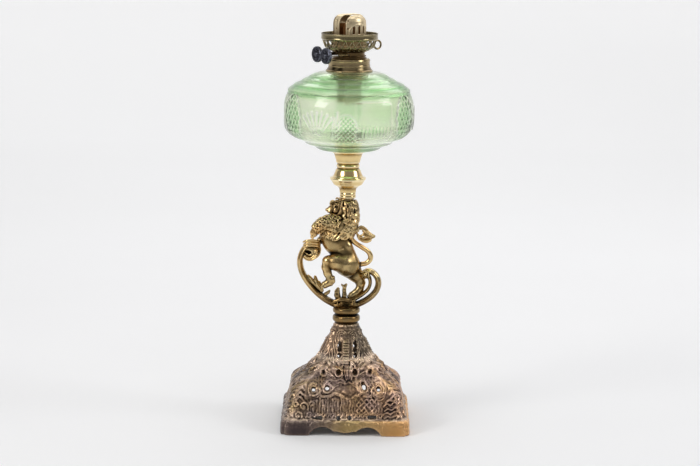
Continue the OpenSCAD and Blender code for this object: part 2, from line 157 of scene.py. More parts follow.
def lathe(name, profile, n=160, shape=None, width=3.0):
    """Closed solid of revolution from a closed profile of (radius, z). shape(theta, r, z) may return a new radius.
    The recess attribute comes from how far the profile lies inside its own smoothed line."""
    pr = np.asarray(profile, float)
    m = len(pr)
    th = np.arange(n) * 2 * math.pi / n
    r = np.repeat(pr[:, :1], n, 1)
    z = np.repeat(pr[:, 1:2], n, 1)
    if shape is not None:
        r, z = shape(th[None, :], r, z)
    v = np.stack([r * np.cos(th), r * np.sin(th), z], -1).reshape(-1, 3)
    i = np.arange(m)[:, None]
    j = np.arange(n)[None, :]
    i2, j2 = (i + 1) % m, (j + 1) % n
    q = np.stack([i * n + j, i * n + j2, i2 * n + j2, i2 * n + j], -1).reshape(-1, 4)
    # distance weighted smoothing along the profile
    seg = np.hypot(*(np.roll(pr, -1, 0) - pr).T)
    s = np.concatenate([[0], np.cumsum(seg)[:-1]])
    L = seg.sum()
    d = np.abs(s[:, None] - s[None, :])
    d = np.minimum(d, L - d)
    w = np.exp(-(d / width) ** 2) * (0.5 * (seg + np.roll(seg, 1)))[None, :]
    w /= w.sum(1, keepdims=True)
    sm = w @ pr
    tan = np.roll(pr, -1, 0) - np.roll(pr, 1, 0)
    tan /= np.maximum(np.hypot(*tan.T), 1e-9)[:, None]
    nor = np.stack([tan[:, 1], -tan[:, 0]], 1)
    area = 0.5 * np.sum(pr[:, 0] * np.roll(pr[:, 1], -1) - np.roll(pr[:, 0], -1) * pr[:, 1])
    if area < 0:
        nor = -nor
    cv = np.einsum("ij,ij->i", pr - sm, nor)
    cav = np.repeat(cv / (width * 0.22), n)
    return write_mesh(name, v, quads=seal(v, q), cav=np.clip(cav, -1, 1))


# --------------------------------------------------- solids from distances
def smin(a, b, k):
    h = np.maximum(k - np.abs(a - b), 0.0) / k
    return np.minimum(a, b) - h * h * k * 0.25


def thinned(v, tris, quads, ratio):
    """The same surface with fewer triangles, fewest where it is flat."""
    ob = write_mesh("thinned", v, tris, quads)
    m = ob.modifiers.new("thin", "DECIMATE")
    m.ratio = ratio
    ev = ob.evaluated_get(bpy.context.evaluated_depsgraph_get())
    me = ev.to_mesh()
    me.calc_loop_triangles()
    t = np.empty(len(me.loop_triangles) * 3, np.int32)
    me.loop_triangles.foreach_get("vertices", t)
    co = np.empty(len(me.vertices) * 3, np.float32)
    me.vertices.foreach_get("co", co)
    ev.to_mesh_clear()
    old = ob.data
    bpy.data.objects.remove(ob)
    bpy.data.meshes.remove(old)
    return co.reshape(-1, 3).astype(np.float64) * 1000.0, t.reshape(-1, 3), None


class Field:
    """Distances on a regular grid, in mm, built up shape by shape."""

    def __init__(self, lo, hi, vox, far=4.0):
        self.lo = np.asarray(lo, np.float32)
        self.v = vox
        self.far = far
        n = [int(math.ceil((hi[i] - lo[i]) / vox)) + 1 for i in range(3)]
        self.d = np.full(n, far, np.float32)
        self.ax = [self.lo[i] + vox * np.arange(n[i], dtype=np.float32) for i in range(3)]

    def sub(self, lo, hi):
        sl = []
        for i in range(3):
            a = max(0, int(math.floor((lo[i] - self.lo[i]) / self.v)))
            b = min(self.d.shape[i], int(math.ceil((hi[i] - self.lo[i]) / self.v)) + 1)
            if b <= a:
                return None
            sl.append(slice(a, b))
        return (tuple(sl), self.ax[0][sl[0]][:, None, None], self.ax[1][sl[1]][None, :, None],
                self.ax[2][sl[2]][None, None, :])

    def mix(self, sl, d, k, cut=False):
        c = self.d[sl]
        if cut:
            self.d[sl] = -smin(-c, d, k)
        else:
            self.d[sl] = smin(c, d, k)

    def capsule(self, a, b, ra, rb, k=0.6, cut=False):
        a, b = np.asarray(a, float), np.asarray(b, float)
        m = max(ra, rb) + k + 3 * self.v
        s = self.sub(np.minimum(a, b) - m, np.maximum(a, b) + m)
        if s is None:
            return
        sl, X, Y, Z = s
        ba = b - a
        L2 = max(float(ba @ ba), 1e-9)
        px, py, pz = X - np.float32(a[0]), Y - np.float32(a[1]), Z - np.float32(a[2])
        t = np.clip((px * ba[0] + py * ba[1] + pz * ba[2]) / L2, 0, 1).astype(np.float32)
        d = np.sqrt((px - t * ba[0]) ** 2 + (py - t * ba[1]) ** 2 + (pz - t * ba[2]) ** 2) - (ra + t * (rb - ra))
        self.mix(sl, d.astype(np.float32), k, cut)

    def chain(self, pts, k=0.6, cut=False, inner=None):
        """Tapered tube through rows of (x, y, z, r). When inner is given the links join with no blend between them; its
        value is not used.
        """
        p = np.asarray(pts, float)
        if inner is None and not cut:
            for i in range(len(p) - 1):
                self.capsule(p[i, :3], p[i + 1, :3], p[i, 3], p[i + 1, 3], k, cut)
            return
        m = p[:, 3].max() + k + 3 * self.v
        s = self.sub(p[:, :3].min(0) - m, p[:, :3].max(0) + m)
        if s is None:
            return
        sl, X, Y, Z = s
        best = None
        for i in range(len(p) - 1):
            a, ba = p[i, :3], p[i + 1, :3] - p[i, :3]
            L2 = max(float(ba @ ba), 1e-9)
            px, py, pz = X - np.float32(a[0]), Y - np.float32(a[1]), Z - np.float32(a[2])
            t = np.clip((px * ba[0] + py * ba[1] + pz * ba[2]) / L2, 0, 1)
            d = np.sqrt((px - t * ba[0]) ** 2 + (py - t * ba[1]) ** 2 + (pz - t * ba[2]) ** 2) - (
                p[i, 3] + t * (p[i + 1, 3] - p[i, 3]))
            best = d if best is None else np.minimum(best, d)
        self.mix(sl, best.astype(np.float32), k, cut)

    def ball(self, c, r, k=0.6, cut=False):
        self.capsule(c, c, r, r, k, cut)

    def egg(self, c, r, rot=(0, 0, 0), k=1.0, cut=False):
        """Ellipsoid with half axes r, turned by Euler angles in degrees."""
        c, r = np.asarray(c, float), np.asarray(r, float)
        m = r.max() + k + 3 * self.v
        s = self.sub(c - m, c + m)
        if s is None:
            return
        sl, X, Y, Z = s
        R = np.array(Matrix.Rotation(math.radians(rot[2]), 3, "Z") @ Matrix.Rotation(math.radians(rot[1]), 3, "Y")
                     @ Matrix.Rotation(math.radians(rot[0]), 3, "X"))
        x, y, z = X - np.float32(c[0]), Y - np.float32(c[1]), Z - np.float32(c[2])
        q = [(R[0, i] * x + R[1, i] * y + R[2, i] * z) for i in range(3)]
        k0 = np.sqrt(sum((q[i] / r[i]) ** 2 for i in range(3)))
        k1 = np.sqrt(sum((q[i] / r[i] ** 2) ** 2 for i in range(3))) + 1e-6
        self.mix(sl, (k0 * (k0 - 1) / k1).astype(np.float32), k, cut)

    def blurred(self, w, lim=2.0, times=2):
        a = np.clip(self.d, -lim, lim)
        h = max(1, int(round(w / self.v / 2)))
        for _ in range(times):
            for axis in range(3):
                pad = [(0, 0)] * 3
                pad[axis] = (h + 1, h)
                c = np.cumsum(np.pad(a, pad, mode="edge"), axis=axis, dtype=np.float32)
                n = a.shape[axis]
                hi = [slice(None)] * 3
                lo = [slice(None)] * 3
                hi[axis] = slice(2 * h + 1, 2 * h + 1 + n)
                lo[axis] = slice(0, n)
                a = (c[tuple(hi)] - c[tuple(lo)]) / (2 * h + 1)
        return a

    def sample(self, arr, v):
        g = (v - self.lo) / self.v
        top = np.array(arr.shape) - 1.001
        g = np.clip(g, 0, top)
        i = g.astype(int)
        f = g - i
        out = 0
        for dx in (0, 1):
            for dy in (0, 1):
                for dz in (0, 1):
                    w = (np.where(dx, f[:, 0], 1 - f[:, 0]) * np.where(dy, f[:, 1], 1 - f[:, 1])
                         * np.where(dz, f[:, 2], 1 - f[:, 2]))
                    out = out + w * arr[i[:, 0] + dx, i[:, 1] + dy, i[:, 2] + dz]
        return out

    def polygons(self, adapt=0.0):
        g = openvdb.FloatGrid(self.far)
        g.copyFromArray(self.d)
        pts, tris, quads = g.convertToPolygons(isovalue=0.0, adaptivity=adapt)
        v = pts.astype(np.float64) * self.v + self.lo
        tris = np.asarray(tris, np.int64).reshape(-1, 3)
        quads = np.asarray(quads, np.int64).reshape(-1, 4)
        vol = 0.0
        if len(quads):
            for a, b, c in ((0, 1, 2), (0, 2, 3)):
                vol += np.einsum("ij,ij->", v[quads[:, a]], np.cross(v[quads[:, b]], v[quads[:, c]]))
        if vol < 0:
            quads, tris = quads[:, ::-1], tris[:, ::-1]
        return v, tris, quads

    def mesh(self, name, cav_w=3.0, cav_gain=1.6, thin=None):
        v, tris, quads = self.polygons()
        if thin:
            v, tris, quads = thinned(v, tris, quads, thin)
        b1 = self.sample(self.blurred(cav_w), v)
        b2 = self.sample(self.blurred(cav_w * 2.4), v)
        cav = np.clip(cav_gain * (b1 + 0.6 * b2), -1, 1)
        return write_mesh(name, v, tris, quads, cav=cav)


# ---------------------------------------------------------------- materials
def nodes_of(name):
    m = bpy.data.materials.new(name)
    m.use_nodes = True
    nt = m.node_tree
    nt.nodes.clear()
    out = nt.nodes.new("ShaderNodeOutputMaterial")
    b = nt.nodes.new("ShaderNodeBsdfPrincipled")
    nt.links.new(b.outputs[0], out.inputs[0])
    return m, nt, b, out


def ramp(nt, fac, stops):
    r = nt.nodes.new("ShaderNodeValToRGB")
    el = r.color_ramp.elements
    while len(el) < len(stops):
        el.new(0.5)
    for e, (pos, col) in zip(el, stops):
        e.position = pos
        e.color = (*col, 1.0)
    nt.links.new(fac, r.inputs[0])
    return r.outputs[0]


def math_node(nt, op, a, b=None, c=None, clamp=False):
    n = nt.nodes.new("ShaderNodeMath")
    n.operation = op
    n.use_clamp = clamp
    for i, x in enumerate((a, b, c)):
        if x is None:
            continue
        if isinstance(x, (int, float)):
            n.inputs[i].default_value = x
        else:
            nt.links.new(x, n.inputs[i])
    return n.outputs[0]


def noise(nt, scale, detail=5.0, rough=0.55, vec=None, distort=0.0):
    n = nt.nodes.new("ShaderNodeTexNoise")
    n.inputs["Scale"].default_value = scale
    n.inputs["Detail"].default_value = detail
    n.inputs["Roughness"].default_value = rough
    n.inputs["Distortion"].default_value = distort
    if vec is not None:
        nt.links.new(vec, n.inputs["Vector"])
    return n.outputs["Fac"]


def mix_col(nt, fac, a, b, kind="MIX"):
    n = nt.nodes.new("ShaderNodeMix")
    n.data_type = "RGBA"
    n.blend_type = kind
    for key, x in (("Factor", fac), ("A", a), ("B", b)):
        sock = [s for s in n.inputs if s.name == key and s.enabled][0]
        if isinstance(x, (int, float)):
            sock.default_value = x
        elif isinstance(x, tuple):
            sock.default_value = (*x, 1.0)
        else:
            nt.links.new(x, sock)
    return [o for o in n.outputs if o.name == "Result" and o.enabled][0]


def coords(nt):
    return nt.nodes.new("ShaderNodeTexCoord").outputs["Object"]


def metal(name, dark, mid, light, rough=(0.25, 0.5), patina=0.5, scale=1.0, bump=0.12, scratch=0.0, metallic=1.0,
          spots=None, gain=1.0, hi_rough=None):
    """Worn metal: dark in the recesses (attribute cav; patina and painted shade), light on the ridges (wear and painted
    highlight), patchy patina, fine grain.
    """
    m, nt, b, out = nodes_of(name)
    obj = coords(nt)
    at = nt.nodes.new("ShaderNodeAttribute")
    at.attribute_name = "cav"
    n1 = noise(nt, 55 * scale, 6, 0.62, obj, 0.3)
    n2 = noise(nt, 260 * scale, 5, 0.6, obj)
    n3 = noise(nt, 1500 * scale, 3, 0.5, obj)
    # recess value, 0 dark (patina and painted shade), 0.5 plain, 1 ridge (wear and painted highlight), broken up by the
    # noises
    c0 = math_node(nt, "MULTIPLY_ADD", at.outputs["Fac"], 0.5 * gain, 0.5)
    c1 = math_node(nt, "MULTIPLY_ADD", math_node(nt, "SUBTRACT", n1, 0.5), patina, c0)
    c2 = math_node(nt, "MULTIPLY_ADD", math_node(nt, "SUBTRACT", n2, 0.5), patina * 0.6, c1, clamp=True)
    col = ramp(nt, c2, [(0.08, dark), (0.46, mid), (0.9, light)])
    if spots is not None:
        s = ramp(nt, noise(nt, 34 * scale, 5, 0.65, obj, 0.8), [(0.5, (0, 0, 0)), (0.68, (1, 1, 1))])
        col = mix_col(nt, math_node(nt, "MULTIPLY", s, 0.55), col, spots)
    nt.links.new(col, b.inputs["Base Color"])
    b.inputs["Metallic"].default_value = metallic
    rr = nt.nodes.new("ShaderNodeMapRange")
    rr.inputs["From Min"].default_value = 0.15
    rr.inputs["From Max"].default_value = 0.85
    rr.inputs["To Min"].default_value = rough[1]
    rr.inputs["To Max"].default_value = rough[0]
    nt.links.new(c2, rr.inputs["Value"])
    r2 = math_node(nt, "MULTIPLY_ADD", math_node(nt, "SUBTRACT", n2, 0.5), 0.22, rr.outputs[0], clamp=True)
    nt.links.new(r2, b.inputs["Roughness"])
    bp = nt.nodes.new("ShaderNodeBump")
    bp.inputs["Strength"].default_value = bump
    bp.inputs["Distance"].default_value = 0.0006
    h = math_node(nt, "MULTIPLY_ADD", n3, 0.35, n2)
    if scratch:
        wv = nt.nodes.new("ShaderNodeTexWave")
        wv.wave_type = "BANDS"
        wv.bands_direction = "Z"
        wv.inputs["Scale"].default_value = 900
        wv.inputs["Distortion"].default_value = 1.2
        wv.inputs["Detail"].default_value = 2
        nt.links.new(obj, wv.inputs["Vector"])
        h = math_node(nt, "MULTIPLY_ADD", wv.outputs["Fac"], scratch, h)
    nt.links.new(h, bp.inputs["Height"])
    nt.links.new(bp.outputs[0], b.inputs["Normal"])
    return m


def side_tint_and_painted_light(m):
    """The foot's colour changes from side to side: its band and corners go from dark purple-brown on the left to orange
    on the right, its walls from greyer to warmer, and the cone carries a painted highlight on its left and painted
    shade on its right.
    """
    nt = m.node_tree
    b = [n for n in nt.nodes if n.type == "BSDF_PRINCIPLED"][0]
    base = b.inputs["Base Color"].links[0].from_socket
    sep = nt.nodes.new("ShaderNodeSeparateXYZ")
    obj = coords(nt)
    nt.links.new(obj, sep.inputs[0])

    def span(sock, lo, hi):
        n = nt.nodes.new("ShaderNodeMapRange")
        n.inputs["From Min"].default_value = lo
        n.inputs["From Max"].default_value = hi
        nt.links.new(sock, n.inputs["Value"])
        return n.outputs[0]

    patch = noise(nt, 26, 4, 0.6, obj, 0.5)
    side = math_node(nt, "MULTIPLY_ADD", math_node(nt, "SUBTRACT", patch, 0.5), 0.5, span(sep.outputs["X"], -0.062, 0.066), clamp=True)
    low = span(sep.outputs["Z"], 0.0186, 0.0166)
    tint = ramp(nt, side, [(0.0, (0.080, 0.058, 0.062)), (0.20, (0.095, 0.070, 0.066)), (0.34, (0.33, 0.225, 0.11)), (0.6, (0.45, 0.315, 0.12)), (0.80, (0.60, 0.355, 0.14)), (1.0, (0.80, 0.43, 0.15))])
    col = mix_col(nt, math_node(nt, "MULTIPLY", low, 0.80), base, tint)
    mid = math_node(nt, "MULTIPLY", span(sep.outputs["Z"], 0.0166, 0.024), span(sep.outputs["Z"], 0.082, 0.070))
    cast = ramp(nt, side, [(0.0, (0.72, 0.74, 0.78)), (0.4, (0.86, 0.82, 0.80)), (0.75, (1.0, 0.90, 0.84)), (1.0, (1.0, 0.88, 0.82))])
    col = mix_col(nt, mid, col, mix_col(nt, 1.0, col, cast, "MULTIPLY"))
    hue = ramp(nt, noise(nt, 34, 3, 0.55, obj, 0.5), [(0.34, (0.72, 0.70, 0.84)), (0.46, (0.86, 0.83, 0.84)), (0.56, (0.98, 0.88, 0.74)), (0.68, (1.0, 0.92, 0.62))])
    col = mix_col(nt, mid, col, mix_col(nt, 1.0, col, hue, "MULTIPLY"))
    # painted highlight on the cone's left side, painted shade on its right
    top = span(sep.outputs["Z"], 0.082, 0.088)
    cone = ramp(nt, span(sep.outputs["X"], -0.018, 0.016), [(0.0, (0.86, 0.76, 0.68)), (0.5, (0.66, 0.62, 0.54)), (1.0, (0.40, 0.40, 0.37))])
    col = mix_col(nt, top, col, mix_col(nt, 1.0, col, cone, "MULTIPLY"))
    nt.links.new(col, b.inputs["Base Color"])
    return m


def height_tone_and_highlight(m):
    """The stem's brass is darker round the hub and the knop, carries a painted highlight through the lion's body and is
    duller in the mane.
    """
    nt = m.node_tree
    b = [n for n in nt.nodes if n.type == "BSDF_PRINCIPLED"][0]
    base = b.inputs["Base Color"].links[0].from_socket
    sep = nt.nodes.new("ShaderNodeSeparateXYZ")
    obj = coords(nt)
    nt.links.new(obj, sep.inputs[0])
    n = nt.nodes.new("ShaderNodeMapRange")
    n.inputs["From Min"].default_value = 0.115
    n.inputs["From Max"].default_value = 0.275
    nt.links.new(sep.outputs["Z"], n.inputs["Value"])
    h = math_node(nt, "MULTIPLY_ADD", math_node(nt, "SUBTRACT", noise(nt, 60, 3, 0.5, obj), 0.5), 0.12, n.outputs[0], clamp=True)
    # painted highlight at the height of the lion's body, darker below round the hub and the knop
    cast = ramp(nt, h, [(0.0, (0.32, 0.29, 0.25)), (0.20, (0.36, 0.33, 0.29)), (0.34, (0.82, 0.80, 0.74)), (0.5, (1.0, 0.96, 0.88)),
                        (0.7, (0.95, 0.90, 0.84)), (0.86, (0.72, 0.68, 0.66)), (1.0, (0.66, 0.61, 0.58))])
    hue = ramp(nt, noise(nt, 42, 3, 0.5, obj, 0.4), [(0.36, (0.82, 0.87, 0.86)), (0.5, (0.96, 0.94, 0.86)), (0.64, (1.0, 0.87, 0.70))])
    col = mix_col(nt, 1.0, base, cast, "MULTIPLY")
    col = mix_col(nt, 1.0, col, hue, "MULTIPLY")
    nt.links.new(col, b.inputs["Base Color"])
    return m


M_IRON = side_tint_and_painted_light(metal("bronzed_iron", (0.018, 0.014, 0.014), (0.232, 0.170, 0.128), (0.76, 0.585, 0.43),
                               rough=(0.28, 0.56), patina=0.7, scale=1.0, bump=0.3, metallic=0.9,
                               spots=(0.135, 0.112, 0.118), gain=0.92))
M_ANTIQUE = height_tone_and_highlight(metal("antique_brass", (0.013, 0.009, 0.004), (0.250, 0.178, 0.086), (0.82, 0.625, 0.345),
                                   rough=(0.20, 0.46), patina=0.42, bump=0.16, spots=(0.125, 0.094, 0.05), gain=1.25))
M_POLISHED = metal("polished_brass", (0.22, 0.13, 0.04), (0.80, 0.60, 0.28), (0.96, 0.80, 0.48),
                   rough=(0.10, 0.30), patina=0.25, bump=0.04, scratch=0.12)
M_AGED = metal("aged_brass", (0.010, 0.007, 0.003), (0.108, 0.080, 0.038), (0.42, 0.32, 0.17),
               rough=(0.15, 0.36), patina=0.5, bump=0.1, spots=(0.10, 0.072, 0.032), scratch=0.1)
M_OLIVE = metal("olive_brass", (0.005, 0.004, 0.003), (0.060, 0.049, 0.025), (0.30, 0.245, 0.135),
                rough=(0.18, 0.38), patina=0.5, bump=0.1, spots=(0.075, 0.062, 0.032), scratch=0.08, gain=1.2)
# soot and painted shade: near-black brass for the screen seen deep inside the burner
M_SOOT_AND_SHADE = metal("sooted_brass_and_shade", (0.004, 0.003, 0.002), (0.034, 0.026, 0.013), (0.16, 0.12, 0.06),
               rough=(0.34, 0.6), patina=0.6, bump=0.12)
M_PALE = metal("pale_brass", (0.13, 0.078, 0.032), (0.66, 0.50, 0.285), (0.80, 0.66, 0.43),
               rough=(0.40, 0.60), patina=0.45, bump=0.1, spots=(0.34, 0.225, 0.10))
M_BROWN = metal("browned_brass", (0.05, 0.02, 0.008), (0.26, 0.115, 0.035), (0.50, 0.27, 0.10),
                rough=(0.35, 0.65), patina=0.6, bump=0.15)
M_STEEL = metal("steel", (0.06, 0.055, 0.05), (0.38, 0.36, 0.34), (0.66, 0.65, 0.62),
                rough=(0.28, 0.5), patina=0.4, bump=0.12)
M_KNOB = metal("black_knob", (0.002, 0.002, 0.003), (0.012, 0.012, 0.017), (0.11, 0.115, 0.145),
               rough=(0.12, 0.30), patina=0.35, bump=0.15, metallic=1.0, gain=0.8)


def make_glass():
    m, nt, b, out = nodes_of("green_glass")
    obj = coords(nt)
    at = nt.nodes.new("ShaderNodeAttribute")
    at.attribute_name = "cav"
    tone = math_node(nt, "MULTIPLY_ADD", at.outputs["Fac"], 0.5, 0.5)
    tone = math_node(nt, "MULTIPLY_ADD", math_node(nt, "SUBTRACT", noise(nt, 30, 3, 0.5, obj), 0.5), 0.3, tone, clamp=True)
    # pale where the pattern stands proud: a painted highlight along the pressed ridges; deeper green in the hollows and
    # the thick rings
    col = ramp(nt, tone, [(0.06, (0.28, 0.66, 0.25)), (0.30, (0.64, 0.86, 0.52)), (0.50, (0.94, 0.97, 0.78)), (0.74, (1.0, 1.0, 0.96))])
    nt.links.new(col, b.inputs["Base Color"])
    b.inputs["Transmission Weight"].default_value = 1.0
    b.inputs["IOR"].default_value = 1.48
    hz = nt.nodes.new("ShaderNodeAttribute")
    hz.attribute_name = "haze"
    grain = math_node(nt, "MULTIPLY", noise(nt, 90, 4, 0.6, obj), 0.10)
    nt.links.new(math_node(nt, "MULTIPLY_ADD", hz.outputs["Fac"], 0.20, grain, clamp=True), b.inputs["Roughness"])
    bp = nt.nodes.new("ShaderNodeBump")
    bp.inputs["Strength"].default_value = 0.12
    bp.inputs["Distance"].default_value = 0.001
    nt.links.new(noise(nt, 70, 3, 0.5, obj, 0.6), bp.inputs["Height"])
    nt.links.new(bp.outputs[0], b.inputs["Normal"])
    va = nt.nodes.new("ShaderNodeVolumeAbsorption")
    va.inputs["Color"].default_value = (0.52, 0.90, 0.30, 1.0)
    va.inputs["Density"].default_value = 5.5
    nt.links.new(va.outputs[0], out.inputs["Volume"])
    return m


M_GLASS = make_glass()


def make_cotton():
    m, nt, b, out = nodes_of("wick_cotton")
    obj = coords(nt)
    z = nt.nodes.new("ShaderNodeSeparateXYZ")
    nt.links.new(obj, z.inputs[0])
    char = nt.nodes.new("ShaderNodeMapRange")
    char.inputs["From Min"].default_value = 0.462
    char.inputs["From Max"].default_value = 0.470
    nt.links.new(math_node(nt, "MULTIPLY_ADD", noise(nt, 400, 3, 0.5, obj), 0.006, z.outputs["Z"]), char.inputs["Value"])
    base = ramp(nt, noise(nt, 300, 4, 0.6, obj), [(0.3, (0.82, 0.75, 0.58)), (0.7, (0.95, 0.91, 0.78))])
    col = mix_col(nt, char.outputs[0], base, (0.02, 0.015, 0.012))
    nt.links.new(col, b.inputs["Base Color"])
    b.inputs["Roughness"].default_value = 0.9
    w1 = nt.nodes.new("ShaderNodeTexWave")
    w1.bands_direction = "Z"
    w1.inputs["Scale"].default_value = 420
    w1.inputs["Distortion"].default_value = 0.8
    nt.links.new(obj, w1.inputs["Vector"])
    w2 = nt.nodes.new("ShaderNodeTexWave")
    w2.bands_direction = "X"
    w2.inputs["Scale"].default_value = 420
    nt.links.new(obj, w2.inputs["Vector"])
    bp = nt.nodes.new("ShaderNodeBump")
    bp.inputs["Strength"].default_value = 0.6
    bp.inputs["Distance"].default_value = 0.0006
    nt.links.new(math_node(nt, "MULTIPLY", w1.outputs["Fac"], w2.outputs["Fac"]), bp.inputs["Height"])
    nt.links.new(bp.outputs[0], b.inputs["Normal"])
    return m


def make_cement():
    m, nt, b, out = nodes_of("cement")
    obj = coords(nt)
    col = ramp(nt, noise(nt, 160, 6, 0.6, obj), [(0.3, (0.74, 0.69, 0.58)), (0.7, (0.88, 0.84, 0.75))])
    nt.links.new(col, b.inputs["Base Color"])
    b.inputs["Roughness"].default_value = 0.85
    bp = nt.nodes.new("ShaderNodeBump")
    bp.inputs["Strength"].default_value = 0.5
    bp.inputs["Distance"].default_value = 0.0005
    nt.links.new(noise(nt, 900, 5, 0.7, obj), bp.inputs["Height"])
    nt.links.new(bp.outputs[0], b.inputs["Normal"])
    return m


M_COTTON = make_cotton()
M_CEMENT = make_cement()

KEEP = {
    "base_washer": M_STEEL, "base_nut": M_STEEL, "lower_stud": M_STEEL, "upper_stud": M_STEEL,
    "connector_cement": M_CEMENT, "collar_cement": M_CEMENT, "burner_body": M_ANTIQUE, "burner_plate": M_PALE,
    "air_screen": M_SOOT_AND_SHADE, "gallery": M_AGED, "hood": M_PALE, "wick_tube_front": M_BROWN, "wick_tube_rear": M_BROWN,
    "wick_front": M_COTTON, "wick_rear": M_COTTON, "spindle_front": M_STEEL, "spindle_rear": M_STEEL,
    "feed_wheels_front": M_STEEL, "feed_wheels_rear": M_STEEL, "spindle_guide_front": M_AGED,
    "spindle_guide_rear": M_AGED, "winder_knob_front": M_KNOB, "winder_knob_rear": M_KNOB,
    "extinguisher_lever": M_PALE, "lever_bracket": M_AGED, "lever_pin": M_STEEL,
    "snuffer_sleeve_front": M_BROWN, "snuffer_sleeve_rear": M_BROWN, "snuffer_bridge": M_BROWN,
    "stem_knop": M_ANTIQUE, "lion_cap": M_POLISHED, "stem_dish": M_POLISHED, "font_connector": M_POLISHED,
    "font": M_GLASS, "font_collar": M_AGED, "scroll_bracket": M_ANTIQUE, "lion_figure": M_ANTIQUE,
}
for n, ob in NODES.items():
    mat = KEEP.get(n, M_IRON)
    if ob.data.materials:
        for i in range(len(ob.data.materials)):
            ob.data.materials[i] = mat
    else:
        ob.data.materials.append(mat)

# ------------------------------------------------------------------- studio
def studio():
    n, w = 60, 9000.0
    rows = [(-5200.0, 0.0), (2600.0, 0.0)]
    for i in range(1, 17):
        a = math.radians(90 * i / 16)
        rows.append((2600 + 1400 * math.sin(a), 1400 - 1400 * math.cos(a)))
    rows.append((4000.0, 6500.0))
    v = np.array([(x, y, z) for (y, z) in rows for x in (-w, w)])
    q = np.array([(2 * i, 2 * i + 1, 2 * i + 3, 2 * i + 2) for i in range(len(rows) - 1)])
    ob = write_mesh("backdrop", v, quads=q)
    m, nt, b, out = nodes_of("paper")
    obj = coords(nt)
    col = ramp(nt, noise(nt, 2.0, 2, 0.5, obj), [(0.2, (0.80, 0.80, 0.805)), (0.8, (0.82, 0.82, 0.825))])
    nt.links.new(col, b.inputs["Base Color"])
    b.inputs["Roughness"].default_value = 0.85
    b.inputs["Specular IOR Level"].default_value = 0.1
    sep = nt.nodes.new("ShaderNodeSeparateXYZ")
    nt.links.new(obj, sep.inputs[0])
    far = nt.nodes.new("ShaderNodeMapRange")
    far.inputs["From Min"].default_value = 0.0
    far.inputs["From Max"].default_value = 3.4
    nt.links.new(sep.outputs["Y"], far.inputs["Value"])
    nt.links.new(ramp(nt, far.outputs[0], [(0.0, (0.04, 0.04, 0.04)), (0.5, (0.40, 0.40, 0.40)), (1.0, (0.95, 0.95, 0.95))]), b.inputs["Emission Color"])
    b.inputs["Emission Strength"].default_value = 0.46
    ob.data.materials.append(m)
    wd = bpy.data.worlds.new("studio")
    bpy.context.scene.world = wd
    wd.use_nodes = True
    nt = wd.node_tree
    bg = nt.nodes["Background"]
    geo = nt.nodes.new("ShaderNodeTexCoord")
    sep = nt.nodes.new("ShaderNodeSeparateXYZ")
    nt.links.new(geo.outputs["Generated"], sep.inputs[0])
    mr = nt.nodes.new("ShaderNodeMapRange")
    mr.inputs["From Min"].default_value = -0.2
    mr.inputs["From Max"].default_value = 1.0
    nt.links.new(sep.outputs["Z"], mr.inputs["Value"])
    col = ramp(nt, mr.outputs[0], [(0.0, (0.36, 0.35, 0.34)), (0.45, (0.60, 0.60, 0.61)), (1.0, (0.95, 0.95, 0.97))])
    nt.links.new(col, bg.inputs["Color"])
    bg.inputs["Strength"].default_value = 0.42

    def area(name, loc, target, sx, sy, power, color=(1, 1, 1)):
        ld = bpy.data.lights.new(name, "AREA")
        ld.shape = "RECTANGLE"
        ld.size, ld.size_y = sx, sy
        ld.energy = power
        ld.color = color
        o = bpy.data.objects.new(name, ld)
        bpy.context.scene.collection.objects.link(o)
        o.location = loc
        d = np.array(target, float) - np.array(loc, float)
        o.rotation_euler = Vector(d).to_track_quat("-Z", "Y").to_euler()
        return o

    area("soft_left", (-1.7, -1.3, 1.35), (0, 0, 0.25), 0.9, 1.2, 20, (1.0, 0.985, 0.96))
    area("soft_right", (1.95, -0.55, 1.5), (0, 0, 0.25), 0.8, 1.0, 13.5, (0.985, 0.99, 1.0))
    area("soft_top", (0.0, -0.2, 2.3), (0, 0, 0.2), 1.6, 1.6, 14)
    area("soft_back", (0.3, 1.7, 1.9), (0, 0, 0.3), 2.2, 0.9, 12)


studio()
bpy.context.scene.view_settings.view_transform = "Standard"

# ------------------------------------------------------------ turned brass
body = "stand"


def closed(profile, r_in, times=2):
    """Rounded outline of a turned piece, closed down its bore."""
    p = chaikin(profile, times)
    return np.vstack([[(r_in, p[0][1])], p, [(r_in, p[-1][1])]])


knop = [(13.6, 119), (13.6, 119.4), (13.8, 120.6), (15.2, 121.6), (16.15, 122.8), (16.25, 125), (16.15, 127),
        (15.2, 128.2), (14.0, 128.9), (13.4, 129.6), (13.4, 130.4), (13.9, 130.9), (15.1, 131.5), (15.95, 132.7),
        (16.05, 134.6), (15.9, 136.4), (15.1, 137.4), (14.6, 137.8), (14.6, 138)]
put(lathe("knop_turned", closed(knop, 5), 128), body, "antique_brass", M_ANTIQUE, "stem_knop")

cap = [(8.8, 268), (8.9, 268.2), (9.4, 268.7), (9.5, 270), (9.1, 271.0), (9.1, 271.6), (9.45, 272.4), (9.4, 273.6),
       (8.9, 274.6), (8.9, 275)]
put(lathe("cap_turned", closed(cap, 4), 96, width=1.5), body, "polished_brass", M_POLISHED, "lion_cap")

dish = [(9.6, 275), (9.7, 277.2), (9.9, 278.8), (10.6, 280.1), (11.9, 281.4), (13.9, 282.6), (16.6, 284.0),
        (17.2, 284.6), (17.2, 285.2), (17.7, 285.7), (18.9, 287.6), (20.2, 289.5), (21.0, 290.4), (21.25, 291.3),
        (21.1, 292.1), (20.6, 292.5), (20.2, 292.6)]
put(lathe("dish_turned", closed(dish, 4), 128), body, "polished_brass", M_POLISHED, "stem_dish")

